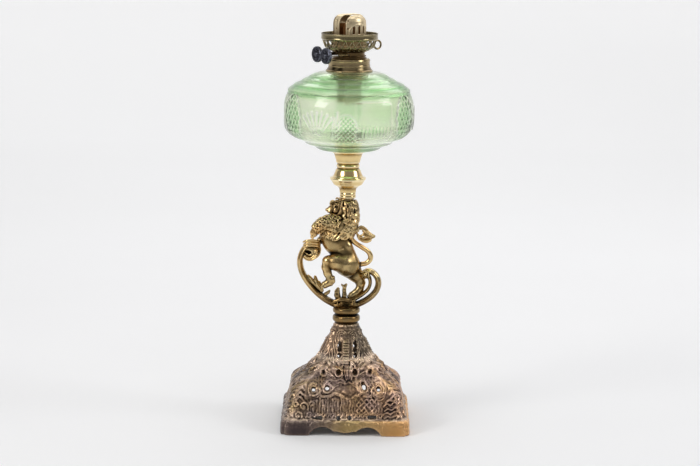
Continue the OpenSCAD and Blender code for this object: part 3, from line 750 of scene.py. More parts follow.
conn = [(18.0, 292.6), (18.3, 292.9), (18.2, 293.7), (17.2, 294.6), (16.2, 296.6), (15.2, 299.2), (14.5, 301.4),
        (13.1, 303.0), (12.65, 303.6), (12.65, 304.1), (13.2, 304.8), (13.65, 305.9), (13.6, 306.8), (13.1, 307.7),
        (12.65, 308.3), (12.65, 309.1), (13.2, 309.6), (14.0, 310.4), (14.3, 311.6), (14.2, 312.5), (14.6, 313.8),
        (15.5, 316.5), (16.6, 320), (17.2, 321.1), (19.4, 322.2), (20.1, 322.9), (20.25, 323.6), (20.0, 324.3),
        (19.7, 324.6)]
cp = chaikin(conn, 2)
put(lathe("connector_turned", np.vstack([[(4, 292.6)], cp, [(12.5, 324.6), (12.5, 314.5), (4, 314.5)]]), 128),
    body, "polished_brass", M_POLISHED, "font_connector")

# --------------------------------------------------------------------- font
G_OUT = [(10, 324.6), (26.6, 324.6), (29.5, 324.75), (34.5, 325.7), (37.2, 327.2), (38.6, 328.2), (40.0, 329.2),
         (42.0, 330.7), (47.6, 332.0), (50.4, 333.2), (51.6, 334.2), (53.4, 336.1), (58.4, 338.2), (65.0, 340.6),
         (68.2, 343.0), (70.5, 345.2), (72.6, 347.4), (74.4, 350.0), (75.3, 354.8), (76.1, 362), (76.15, 370),
         (76.1, 377), (75.7, 382), (74.4, 386.6), (72.6, 390.2), (71.4, 393.6), (71.7, 395.0), (70.8, 396.6),
         (67.4, 399.2), (65.4, 400.2), (64.6, 401.2), (63.6, 402.4), (58.4, 404.6), (56.0, 405.4), (54.9, 406.5),
         (50.4, 409.2), (47.4, 410.2), (46.2, 411.2), (43.0, 413.2), (36, 415.9), (30, 416.9), (22.5, 417.2),
         (20.6, 418.2), (20.4, 426.2), (20.2, 426.5)]
G_IN = [(17.6, 426.5), (17.5, 425.9), (17.5, 413.4), (18.4, 412.5), (30, 411.8), (40, 408.6), (50, 403.4), (61, 397.4),
        (67, 391.4), (70.0, 385), (71.4, 377), (71.4, 364), (70.5, 356), (66.2, 348.8), (58, 342.6), (44, 335.5),
        (30, 329.7), (14, 328.4), (0.4, 328.3)]


def resample(p, step):
    p = np.asarray(p, float)
    s = np.concatenate([[0], np.cumsum(np.hypot(*(p[1:] - p[:-1]).T))])
    n = max(2, int(round(s[-1] / step)) + 1)
    t = np.linspace(0, s[-1], n)
    return np.stack([np.interp(t, s, p[:, 0]), np.interp(t, s, p[:, 1])], 1)


def sstep(a, b, x):
    t = np.clip((x - a) / (b - a), 0, 1)
    return t * t * (3 - 2 * t)


def font_relief(th, z):
    """Pressed pattern in mm on the font's band, three times round; th in radians, z in mm."""
    deg = np.degrees(th) + 90.0          # 0 faces the viewer, grows to the viewer's right
    a = (deg + 60.0) % 120.0 - 60.0      # one unit, lens shapes at the ends
    band = sstep(339, 342, z) * (1 - sstep(392.0, 394.5, z))
    out = np.zeros_like(a + z)
    s = a * 1.31                          # mm along the wall
    # lens of crossing ribs at the unit's ends
    e = np.minimum(np.abs(a - 60), np.abs(a + 60)) * 1.31
    sg = np.where(a > 0, a - 60, a + 60) * 1.31
    lens = 17.5 * np.sqrt(np.clip(1 - ((z - 366) / 27.0) ** 2, 0, 1))
    inside = sstep(-1.2, 1.2, lens - e)
    lat = np.maximum(np.cos((sg * 0.86 + z * 0.5) * 2 * math.pi / 5.4), np.cos((sg * 0.86 - z * 0.5) * 2 * math.pi / 5.4))
    out = out + inside * (0.75 * np.clip(lat, -0.2, 1) - 0.15)
    out = out + 0.9 * np.exp(-((lens - e) / 1.5) ** 2) * band
    # fan of pointed leaves
    fx, fz = -37.5, 343.5
    rx, rz = s - fx, z - fz
    rr = np.hypot(rx, rz)
    ang = np.degrees(np.arctan2(rx, np.maximum(rz, -50)))
    ray = np.abs(np.cos(np.radians(ang * 180 / 11.5)))
    fan = sstep(0, 2, 29 + 6 * ray - rr) * sstep(0, 2, rr - 5) * sstep(0, 4, 44 - np.abs(ang)) * (1 - inside)
    out = out + fan * (1.5 * ray ** 1.5 - 0.45)
    # stalks between the fan and the arch
    for k, top in ((-19.5, 371.0), (-16.2, 377.0), (-12.8, 368.0)):
        m = k + 0.10 * (z - 345.0)
        out = out + 0.9 * np.exp(-((s - m) / 0.8) ** 2) * sstep(344, 346, z) * (1 - sstep(top - 1, top + 1, z)) * (1 - fan)
        out = out + 0.7 * np.exp(-((s - m) / 1.5) ** 2 - ((z - top + 4) / 4.0) ** 2) * (1 - fan)
    # arch with a ground of small points
    ax = s + 3.0
    arch = 15.0 - np.hypot(ax * 1.05, np.maximum(z - 358, 0) * 0.9)
    low = sstep(341, 343, z)
    dots = np.clip(np.cos(ax * 2 * math.pi / 5.4) * np.cos(z * 2 * math.pi / 5.4) * 1.5, -0.3, 1)
    out = out + sstep(0, 1.5, arch - 2.2) * low * (1 - fan) * (1 - inside) * (1.1 * dots - 0.1)
    out = out + 0.55 * np.exp(-((arch - 1.0) / 1.2) ** 2) * low * (1 - fan) * sstep(-2, 2, s + 10)
    # smooth panel with a fine frame
    px = np.abs(s - 31.0) - 22.0
    pz = np.abs(z - 366.0) - 22.0
    dd = np.maximum(px, pz)
    out = out + (0.3 + 0.4 * (1 - sstep(352, 362, z))) * np.exp(-((dd) / 0.9) ** 2) * (1 - inside) - 0.10 * sstep(0, 1.5, -dd)
    # short upright reeds in its lower half
    out = out + 0.6 * np.clip(np.cos(s * 2 * math.pi / 4.4), -0.3, 1) * sstep(0, 1.5, -px - 1.5) * sstep(347, 349, z) * (1 - sstep(358, 361, z)) * (1 - inside)
    # small fans along the foot of the panel
    sc = np.abs(((s - 31) / 6.0 + 0.5) % 1.0 - 0.5) * 6
    out = out + 0.45 * np.exp(-((np.hypot(sc, (z - 344.5)) - 3.0) / 0.8) ** 2) * sstep(0, 1, -px) * (1 - inside)
    # vertical reeding low on the bowl, worked out but given no height
    reed = sstep(334, 336.5, z) * (1 - sstep(339.5, 341.5, z))
    return out * band + 0.0 * reed


g_out = resample(chaikin(G_OUT, 2), 0.85)
g_in = resample(chaikin(G_IN, 2), 2.6)
prof = np.vstack([[(0.4, 324.6)], resample([(1, 324.6), (9.5, 324.6)], 3), g_out, g_in])
n_out = len(g_out) + 4


def font_shape(th, r, z):
    idx = np.arange(r.shape[0])[:, None]
    first = 1 + len(resample([(1, 324.6), (9.5, 324.6)], 3))
    on = (idx >= first) & (idx < first + len(g_out))
    dr = font_relief(th, z)
    r2 = np.where(on, r + (np.clip(dr, -1.2, 1.5) - 0.35) * np.where(r > 60, 1.0, 0.0) * 0.85 * sstep(338, 342, z) * (1 - sstep(392, 395, z)), r)
    return np.minimum(r2, 76.9), z


font = lathe("font_pressed", prof, 336, shape=font_shape)
# tell the glass where the pattern stands proud (painted pale, a painted highlight along the pressed ridges), where it
# is thick and green, and where it is hazy
_m, _n = len(prof), 336
_th = (np.arange(_n) * 2 * math.pi / _n)[None, :]
_z = np.repeat(np.asarray(prof)[:, 1:2], _n, 1)
_r = np.repeat(np.asarray(prof)[:, 0:1], _n, 1)
_a = (np.degrees(_th) + 150.0) % 120.0 - 60.0
_e = np.minimum(np.abs(_a - 60), np.abs(_a + 60)) * 1.31
_lens = sstep(-1.0, 1.5, 17.5 * np.sqrt(np.clip(1 - ((_z - 366) / 27.0) ** 2, 0, 1)) - _e)
_rel = np.where(_r > 60, 1.45 * font_relief(_th, _z) - 0.80 * _lens - 0.24, 0.0)
_first = 1 + len(resample([(1, 324.6), (9.5, 324.6)], 3))
_rel = _rel - 0.66 * sstep(393, 396, _z) * (1 - sstep(414, 417, _z)) - 0.6 * (1 - sstep(330, 334, _z))
_rel[:_first] = 0
_rel[_first + len(g_out):] = 0.9
_c = np.empty(_m * _n, np.float32)
font.data.attributes["cav"].data.foreach_get("value", _c)
_k = np.zeros((_m, _n))
_k[_first:_first + len(g_out)] = 1.0
font.data.attributes["cav"].data.foreach_set("value", np.clip(0.9 * _c * _k.reshape(-1) + _rel.reshape(-1), -1, 1).astype(np.float32))
_h = font.data.attributes.new("haze", "FLOAT", "POINT")
_hv = np.zeros((_m, _n), np.float32)
_hv[_first + len(g_out):] = 1.0
_h.data.foreach_set("value", _hv.reshape(-1))
put(font, "stand", "green_glass", M_GLASS, "font")

# <<lion
# --------------------------------------------------------------------- lion
def Q(px, py, y, r):
    p = P(px, py, y)
    return (p[0], p[1], p[2], r)


def both(F, fn):
    """The same shape on the near and the far side."""
    for s in (-1, 1):
        fn(s)


MROW = [196, 200, 206, 212, 218, 226, 232, 238, 244]
MCX = [345.8, 346, 346.4, 346.8, 346.6, 344.2, 341.5, 338.8, 337]
MRAD = [9.0, 10.4, 11.6, 12.0, 12.4, 13.6, 14.6, 14.8, 14.6]


def mane_pt(row, phi, out=0.0):
    """Point on the mane; phi 0 faces left, 90 the viewer, 180 right."""
    c = P(np.interp(row, MROW, MCX), row, 0.0)
    rad = np.interp(row, MROW, MRAD) + out
    a = math.radians(phi)
    return c + rad * np.array([-math.cos(a), -math.sin(a) * 1.02, 0.0])


def lock(F, row, phi, length, r0, wave=7.0, lean=0.0, lift=0.5, turns=1.0, curl=0.0, strands=3):
    """One lock of hair down the mane: parallel strands with a wave and a curled tip."""
    ph0 = rng.uniform(0, 6.28)
    n = 9
    for k in range(strands):
        off = (k - (strands - 1) / 2.0) * 5.6 * r0
        pts = []
        for i in range(n + 1):
            t = i / n
            rr = row + length * t
            ph = phi + off * (1 - 0.75 * t) + lean * t + wave * math.sin(turns * 6.283 * t + ph0) * (0.3 + 0.7 * t)
            if curl and t > 0.7:
                u = (t - 0.7) / 0.3
                ph += curl * math.sin(u * 4.2) * u
                rr -= abs(curl) * 0.10 * u * u * 2.0
            o = lift + 1.1 * math.sin(math.pi * min(1.0, t * 1.05)) + 0.25 * k
            p = mane_pt(rr, ph, o)
            pts.append((p[0], p[1], p[2], r0 * (0.85 + 0.25 * math.sin(math.pi * t)) * (1 - 0.62 * t ** 2)))
        F.chain(pts, k=0.35)


def paw(F, c, fwd, side, up, r, toes=4, claw=True):
    """Toes in a row round the front of a paw."""
    c, fwd, side, up = (np.asarray(x, float) for x in (c, fwd, side, up))
    for i in range(toes):
        a = (i - (toes - 1) / 2.0) * 0.62
        d = fwd * math.cos(a) + side * math.sin(a)
        p0 = c + d * r * 0.35
        p1 = c + d * r * 1.05 - up * r * 0.12
        F.chain([(*p0, r * 0.42), (*(c + d * r * 0.85 + up * r * 0.10), r * 0.40), (*p1, r * 0.32)], k=0.4)
        if claw:
            p2 = c + d * r * 1.5 - up * r * 0.5
            F.chain([(*p1, r * 0.20), (*p2, r * 0.07)], k=0.3)


def build_lion():
    F = Field((-54, -27, 147.5), (37, 27, 272), 0.46)
    # trunk
    for a, b, k in (
        (Q(331.6, 236, 0, 13.4), Q(337.0, 243.2, 0, 13.6), 4), (Q(337.0, 243.2, 0, 13.4), Q(344.0, 254, 0, 12.0), 5),
        (Q(344.0, 254, 0, 12.0), Q(347.2, 263.5, 0, 14.2), 5), (Q(344, 232, 0, 12.4), Q(346.4, 210, 0, 10.8), 4),
        (Q(346.4, 210, 0, 10.6), Q(346, 199, 0, 9.2), 3),
    ):
        F.capsule(a[:3], b[:3], a[3], b[3], k)
    F.egg(P(333.4, 240.6, 0), (12.6, 13.6, 13.0), (0, -25, 0), 4)
    # back muscles and ribs
    both(F, lambda s: F.chain([Q(340, 238, s * 7, 6.5), Q(347, 246, s * 6, 5.5), Q(351.5, 256, s * 5, 5.0)], 3))
    for i in range(5):
        both(F, lambda s: F.chain([Q(331.5 + 1.9 * i, 242.5 + 1.9 * i, s * 12.4, 0.8),
                                   Q(335.0 + 1.9 * i, 240.5 + 2.0 * i, s * 12.0, 1.0),
                                   Q(339.5 + 1.6 * i, 241.5 + 2.2 * i, s * 10.3, 0.7)], 1.8))
    # haunches
    F.egg(P(347, 264.5, -5.5), (13.8, 9.6, 13.6), (0, 10, 0), 4)
    F.egg(P(349, 266, 5.5), (13.2, 9.6, 13.4), (0, 10, 0), 4)
    # near hind leg, raised
    F.chain([Q(344, 264, -9, 11.2), Q(336, 262.2, -10.5, 9.4), Q(328.6, 261.3, -11.2, 7.0)], 3.5)
    F.chain([Q(327.6, 261.6, -11.2, 6.4), Q(326.2, 267, -11, 5.4), Q(327.5, 273, -10.6, 4.6), Q(330.2, 279, -10.4, 4.4)], 2.0)
    F.chain([Q(330.6, 279.4, -10.4, 4.3), Q(328, 283, -10.4, 4.2), Q(324.6, 284.8, -10.6, 4.4)], 1.6)
    F.chain([Q(333.6, 277, -10.4, 1.6), Q(333.2, 281.4, -10.4, 2.2), Q(331.2, 284.6, -10.4, 1.8)], 1.2)
    F.chain([Q(324.4, 262, -15.2, 1.2), Q(324.2, 268, -14.8, 1.4), Q(326.4, 275, -13.8, 1.0)], 1.4)
    d = P(321, 287, -10) - P(325.5, 284, -10)
    d /= np.linalg.norm(d)
    up = np.array([d[2], 0, -d[0]])
    up = up if up[2] > 0 else -up
    paw(F, P(324.8, 284.6, -10.5), d, (0, -1, 0), up, 4.6)
    # far hind leg, standing
    F.chain([Q(350, 267.5, 6, 11.5), Q(355, 274, 6.5, 8.6), Q(359.2, 279.8, 6, 6.2)], 3.5)
    F.chain([Q(359.6, 279.6, 6, 5.6), Q(360.6, 284.4, 5, 4.9), Q(359.6, 289, 4, 4.6), Q(356.4, 292.4, 3.2, 4.4),
             Q(351.8, 295.2, 2.6, 4.2)], 1.8)
    F.chain([Q(362.6, 277.5, 5.4, 1.8), Q(363.4, 282.6, 4.8, 2.4), Q(362.4, 287, 4.2, 1.6)], 1.2)
    d = P(346, 297.6, 0) - P(352, 294.6, 0)
    d /= np.linalg.norm(d)
    up = np.array([d[2], 0, -d[0]])
    up = up if up[2] > 0 else -up
    paw(F, P(351.4, 295.2, 2.4), d, (0, -1, 0), up, 4.4)
    # near foreleg, raised
    F.chain([Q(338.5, 225.4, -8.6, 9.8), Q(331.0, 222.6, -10.8, 8.6), Q(325.0, 222.8, -11.4, 7.2)], 3.0)
    F.chain([Q(325.4, 223.0, -11.4, 7.0), Q(319.8, 226.0, -11.6, 6.0), Q(315.6, 230.0, -11.2, 5.0)], 2.0)
    d = P(311, 235.2, -10) - P(317, 230, -10)
    d /= np.linalg.norm(d)
    up = np.array([d[2], 0, -d[0]])
    up = up if up[2] > 0 else -up
    F.egg(P(313.8, 233.0, -11), (5.0, 4.8, 4.4), (0, 50, 0), 1.5)
    d = P(311.2, 239.4, -10) - P(314.0, 232.4, -10)
    d /= np.linalg.norm(d)
    paw(F, P(313.6, 233.6, -11), d, (0, -1, 0), np.array([-abs(d[2]), 0, abs(d[0])]), 4.8)
    # far foreleg, on the volute
    F.chain([Q(335, 231, 6.5, 8.4), Q(328.5, 234.6, 6.4, 6.2), Q(323.6, 237.8, 5.4, 5.0)], 3.0)
    F.egg(P(320.6, 240.4, 4.4), (4.8, 4.6, 4.0), (0, 30, 0), 1.5)
    paw(F, P(320.6, 240.2, 4.4), d, (0, -1, 0), up, 4.6)
    # skull, muzzle, jaw
    F.chain([Q(342, 205.4, 0, 8.6), Q(337.4, 207.0, 0, 7.0)], 2.5)
    F.egg(P(331.6, 210.0, 0), (5.6, 4.6, 3.9), (0, -8, 0), 2.0)
    F.chain([Q(335.8, 205.8, 0, 3.6), Q(331, 207.9, 0, 2.5), Q(327.6, 209.6, 0, 2.1)], 1.8)
    F.chain([Q(336, 213.6, 0, 4.4), Q(332.2, 214.6, 0, 3.0)], 1.6)
    F.chain([Q(336, 214.8, 0, 3.2), Q(333.4, 217.4, 0, 2.2), Q(332.2, 219.6, 0, 0.9)], 1.2)
    both(F, lambda s: F.egg(P(330.0, 211.6, s * 2.7), (3.3, 2.0, 1.9), (0, -6, s * 10), 0.8))
    both(F, lambda s: F.egg(P(336.4, 211.0, s * 5.4), (3.6, 2.0, 3.4), (0, 0, 0), 1.2))
    F.egg(P(326.5, 209.6, 0), (1.5, 2.3, 1.6), (0, 0, 0), 0.7)
    both(F, lambda s: F.capsule(P(326.0, 210.4, s * 1.2), P(326.9, 210.8, s * 2.4), 0.45, 0.35, 0.3, True))
    # mouth line
    both(F, lambda s: F.chain([Q(327.0, 212.9, s * 0.4, 0.45), Q(329.6, 213.5, s * 3.6, 0.5), Q(333.4, 213.4, s * 4.9, 0.55),
                               Q(336.6, 211.9, s * 6.0, 0.5)], 0.4, True))
    # brows and eyes
    both(F, lambda s: F.egg(P(336.9, 206.9, s * 5.8), (2.6, 1.5, 1.9), (0, 15, 0), 0.5, True))
    both(F, lambda s: F.ball(P(337.0, 207.0, s * 4.9), 1.35, 0.2))
    both(F, lambda s: F.chain([Q(334.4, 205.7, s * 3.8, 1.1), Q(336.9, 204.3, s * 5.5, 1.3), Q(339.8, 205.4, s * 6.6, 1.0)], 0.6))
    both(F, lambda s: F.chain([Q(334.8, 208.6, s * 4.6, 0.6), Q(337.3, 208.9, s * 5.6, 0.7), Q(339.4, 207.6, s * 6.2, 0.6)], 0.5))
    both(F, lambda s: F.egg(P(341.8, 204.4, s * 8.0), (1.6, 1.0, 2.1), (0, 20, 0), 0.5))
    # tail, its ball and its tuft
    tail = [(357.0, 264.8, 2, 3.0), (361.5, 264.2, 0, 2.5), (366.6, 263.0, 0, 2.5), (370.0, 259.6, 0, 2.6),
            (370.4, 255.4, 0, 2.6), (367.6, 251.0, -1, 2.5), (361.6, 247.0, -2, 2.5), (355.2, 242.8, -3, 2.5),
            (351.2, 238.6, -5, 2.5), (349.4, 234.0, -8, 2.4), (350.2, 229.6, -9, 2.0)]
    F.chain([Q(*r) for r in spline(tail, 6)], 1.0)
    for i in range(5):
        t0, t1 = 0.15 * i + 0.05, 0.15 * i + 0.20
        sp = spline(tail, 20)
        seg = sp[int(t0 * 200):int(t1 * 200)]
        if len(seg) > 3:
            F.chain([(*(P(a, b, c - 2.0)), 0.5) for a, b, c, _ in seg[::4]], 0.6)
    F.ball(P(349.6, 231.0, -12.4), 3.1, 0.4)
    for i in range(3):
        F.capsule(P(348.2 + 0.2 * i, 228.4 + 1.3 * i, -14.2), P(351.2 + 0.2 * i, 229.0 + 1.3 * i, -14.4), 0.5, 0.5, 0.3)
    # the tuft: an open ring of hair that runs out into a pointed brush
    c = P(360.2, 231.9, -3.4)
    F.chain([(c[0] + 4.5 * math.cos(t), c[1] + 0.9 * math.sin(2 * t), c[2] + 4.7 * math.sin(t), 1.25)
             for t in np.linspace(0, 2 * math.pi, 17)], 0.4)
    F.egg(P(368.6, 235.9, -3.2), (5.4, 2.6, 2.2), (0, 14, 0), 0.8)
    strands = [
        [(357.4, 229.6), (360.8, 226.9), (365.0, 228.6), (368.6, 232.2), (371.6, 234.6), (375.0, 236.2)],
        [(358.6, 228.6), (362.4, 228.4), (366.2, 231.0), (369.6, 233.8), (374.2, 236.4)],
        [(362.8, 230.4), (366.0, 233.2), (369.4, 235.2), (374.0, 236.6)],
        [(357.4, 235.4), (359.2, 238.6), (362.6, 240.4), (367.2, 239.8), (371.2, 238.0), (374.8, 236.6)],
        [(358.6, 236.2), (362.6, 238.4), (367.2, 238.0), (373.8, 236.8)],
        [(363.4, 234.6), (367.4, 236.4), (373.6, 236.8)],
        [(362.0, 240.6), (366.4, 241.6), (370.0, 240.6), (371.6, 238.8)],
    ]
    for i, st in enumerate(strands):
        for dy in (-2.6, 0.2, 2.8):
            m = len(st) - 1
            sp = spline([(x, y + 0.25 * dy * (-1) ** i, -3.2 + dy * math.sin(math.pi * (0.25 + 0.6 * j / m)), 1.0 - 0.45 * (j / m) ** 2)
                         for j, (x, y) in enumerate(st)], 4)
            F.chain([Q(*r) for r in sp], 0.3)
    F.chain([Q(350.4, 229.8, -8.6, 2.0), Q(353.4, 229.2, -6, 1.8), Q(357.4, 230.6, -4, 2.2)], 0.8)
    # mane: rows of locks, the lowest first
    for row, count, length, r0, wave, lift, curl in (
        (231.5, 19, 8.6, 1.08, 8, 0.2, 26), (227.0, 19, 7.4, 1.05, 9, 0.5, 30), (222.5, 19, 7.0, 1.02, 10, 0.8, 30),
        (218.0, 19, 6.6, 1.0, 10, 1.0, 30), (212.5, 18, 7.2, 0.98, 6, 1.0, 18), (206.0, 18, 9.2, 0.95, 3, 1.1, 8),
        (200.4, 17, 7.6, 0.95, 4, 1.0, 6),
    ):
        for i in range(count):
            phi = (i + 0.5 * (int(row) % 2)) * 360.0 / count + rng.uniform(-3, 3)
            face = abs(((phi + 180) % 360) - 180)
            if row < 222 and face < (62 if row < 216 else 40):
                continue
            if row > 228 and (face < 26):
                continue
            lock(F, row + rng.uniform(-0.8, 0.8), phi, length * rng.uniform(0.85, 1.12), r0 * rng.uniform(0.9, 1.12),
                 wave, rng.uniform(-6, 6), lift, rng.uniform(0.7, 1.2), curl * rng.choice([-1, 1]))
    # hair framing the face, from the crown down to the beard
    for i, (dx, dr) in enumerate(((0.0, 1.25), (1.9, 1.2), (3.6, 1.15))):
        both(F, lambda s: F.chain([Q(*r) for r in spline([
            (339.0 + dx, 200.6 + 0.4 * i, s * 4.2, 1.0), (341.2 + dx, 204.6, s * 8.2, dr),
            (340.8 + dx, 209.6, s * 9.6, dr), (338.6 + dx, 214.0, s * 9.0, dr),
            (336.2 + dx * 0.8, 218.2, s * 7.6, dr * 0.9), (333.8 + dx, 221.4, s * 6.4, 0.6)], 4)], 0.3))
    for i in range(6):
        u = i / 5.0
        both(F, lambda s: F.chain([Q(*r) for r in spline([
            (338.4 - 3.2 * u, 215.4 + 0.6 * u, s * (6.6 - 4.8 * u), 1.1),
            (336.0 - 3.0 * u, 218.6, s * (7.2 - 5.2 * u), 1.25),
            (334.8 - 2.4 * u, 221.8, s * (6.4 - 4.6 * u), 1.0), (332.6 - 1.6 * u, 224.4, s * (6.8 - 5.2 * u), 0.5)], 4)], 0.3))
    # forelock, a ring of a curl, and small curls behind it
    c = P(333.0, 203.2, 0)
    for yy in (-2.6, 0.0, 2.6):
        pts = []
        for i in range(15):
            a = math.radians(-60 + 290 * i / 14)
            rad = 3.0 - 0.06 * i
            pts.append((c[0] - rad * math.cos(a), yy + (0.05 * i if yy < 0 else -0.05 * i), c[2] + rad * math.sin(a),
                        1.35 - 0.035 * i))
        F.chain(pts, 0.3)
    F.egg((c[0], 0, c[2]), (2.5, 3.0, 2.5), (0, 0, 0), 0.4)
    for (px, py, yy) in ((337.4, 199.6, -3.4), (337.6, 199.4, 3.4), (341.4, 198.6, -5.6), (341.4, 198.6, 5.6),
                         (336.6, 202.4, -5.6), (336.6, 202.4, 5.6), (340.8, 201.6, -8.0), (340.8, 201.6, 8.0)):
        c2 = P(px, py, yy)
        pts = []
        for i in range(11):
            a = math.radians(40 + 300 * i / 10)
            pts.append((c2[0] - 1.9 * math.cos(a), c2[1] - 0.12 * i * np.sign(c2[1]), c2[2] + 1.9 * math.sin(a), 1.05 - 0.04 * i))
        F.chain(pts, 0.3)
    # shaggy hair over the raised foreleg
    arm = np.array([Q(*r) for r in spline([(337.0, 224.6, -9.4, 9.4), (331.0, 222.6, -10.8, 8.6), (325.2, 222.9, -11.4, 7.1),
                                           (319.8, 226.0, -11.6, 6.0), (315.4, 230.2, -11.2, 5.0)], 8)])
    al = np.concatenate([[0], np.cumsum(np.linalg.norm(np.diff(arm[:, :3], axis=0), axis=1))])
    for i in range(10):
        for j in range(10):
            t0 = (i + 0.5 * (j % 2) - 0.6) / 10.0 * al[-1]
            a0 = math.radians(-70 + 25.0 * j + rng.uniform(-6, 6))
            w = rng.choice([-1, 1])
            pts = []
            for k in range(6):
                u = k / 5.0
                t = np.clip(t0 + u * 5.6, 0, al[-1])
                cen = np.array([np.interp(t, al, arm[:, q]) for q in range(4)])
                nxt = np.array([np.interp(min(t + 1.0, al[-1]), al, arm[:, q]) for q in range(3)])
                prv = np.array([np.interp(max(t - 1.0, 0), al, arm[:, q]) for q in range(3)])
                T = (nxt - prv) / np.linalg.norm(nxt - prv)
                U = np.array([0, 0, 1.0]) - T * T[2]
                U /= np.linalg.norm(U)
                V = np.cross(T, U)
                V = -V if V[1] > 0 else V
                ang = a0 + w * 0.24 * math.sin(u * 5.2)
                o = cen[3] + 0.1 + 1.2 * math.sin(math.pi * min(1, 0.15 + u))
                q = cen[:3] + o * (math.cos(ang) * U + math.sin(ang) * V)
                pts.append((*q, 1.0 * (1 - 0.55 * u * u)))
            F.chain(pts, 0.3)

    # the fringe of the mane over the chest
    def chest(px, py, s, out):
        dx = (px - np.interp(py, [230, 236, 243], [333.4, 331.8, 337.0])) * 1.178
        return s * (math.sqrt(max(13.5 ** 2 - dx * dx, 9.0)) + out)

    for row in range(3):
        for i in range(16):
            px = 320.6 + 1.7 * i + rng.uniform(-0.4, 0.4)
            py = 230.4 + 2.7 * row + rng.uniform(-0.5, 0.5) + 0.5 * (i % 2)
            w = rng.choice([-1, 1]) * rng.uniform(0.5, 1.0)
            both(F, lambda s: F.chain([Q(*r) for r in spline([
                (px + 1.2, py - 1.0, chest(px + 1.2, py - 1.0, s, 0.3), 0.85), (px + 0.3 + w, py + 0.9, chest(px, py + 0.9, s, 1.2), 1.0),
                (px - 0.5 * w, py + 2.8, chest(px, py + 2.8, s, 1.1), 0.85), (px + 0.8 * w, py + 4.4, chest(px, py + 4.4, s, 0.5), 0.4)], 4)], 0.3))
    # nothing reaches above the cap's foot
    top = F.ax[2] > 268.0
    F.d[:, :, top] = np.maximum(F.d[:, :, top], (F.ax[2][top] - 268.0)[None, None, :])
    return F.mesh("lion_rampant", 2.4, 1.5, thin=0.58)


lion = build_lion()
put(lion, "stand", "antique_brass", M_ANTIQUE, "lion_figure")
# >>lion

# <<scroll
# ------------------------------------------------------------------- scroll
def strap_solid(F, line, w, ridge=0.9, p=2.6, k=1.2, per=8, edge=0.45):
    """Flat strap in the XZ plane along (px, py, half thickness), w deep to each side, ridged down its middle."""
    s = spline(line, per)
    c = np.array([[*P(a, b, 0)[[0, 2]], h] for a, b, h in s])
    X, Z = F.ax[0][:, None], F.ax[2][None, :]
    best = np.full((len(F.ax[0]), len(F.ax[2])), 99.0, np.float32)
    hh = np.ones_like(best)
    for i in range(len(c) - 1):
        a, b = c[i], c[i + 1]
        ba = b[:2] - a[:2]
        L2 = max(float(ba @ ba), 1e-9)
        t = np.clip(((X - a[0]) * ba[0] + (Z - a[1]) * ba[1]) / L2, 0, 1)
        d = np.hypot(X - a[0] - t * ba[0], Z - a[1] - t * ba[1])
        near = d < best
        best = np.where(near, d, best)
        hh = np.where(near, a[2] + t * (b[2] - a[2]), hh)
    m = best < hh.max() + 4
    xs, zs = np.where(m.any(1))[0], np.where(m.any(0))[0]
    sx, sz = slice(xs[0], xs[-1] + 1), slice(zs[0], zs[-1] + 1)
    q = (best / hh)[sx, sz]
    we = w * (1 - 0.10 * np.clip(q, 0, 1.2) ** 2) + ridge * np.exp(-(q / 0.26) ** 2) - edge * np.exp(-((q - 0.55) / 0.2) ** 2)
    Y = np.abs(F.ax[1])[None, :, None]
    d = ((np.clip(q, 0, 9)[:, None, :] ** p + (Y / we[:, None, :]) ** p) ** (1 / p) - 1) * np.minimum(hh[sx, sz], 4)[:, None, :]
    F.mix((sx, slice(None), sz), d.astype(np.float32), k)


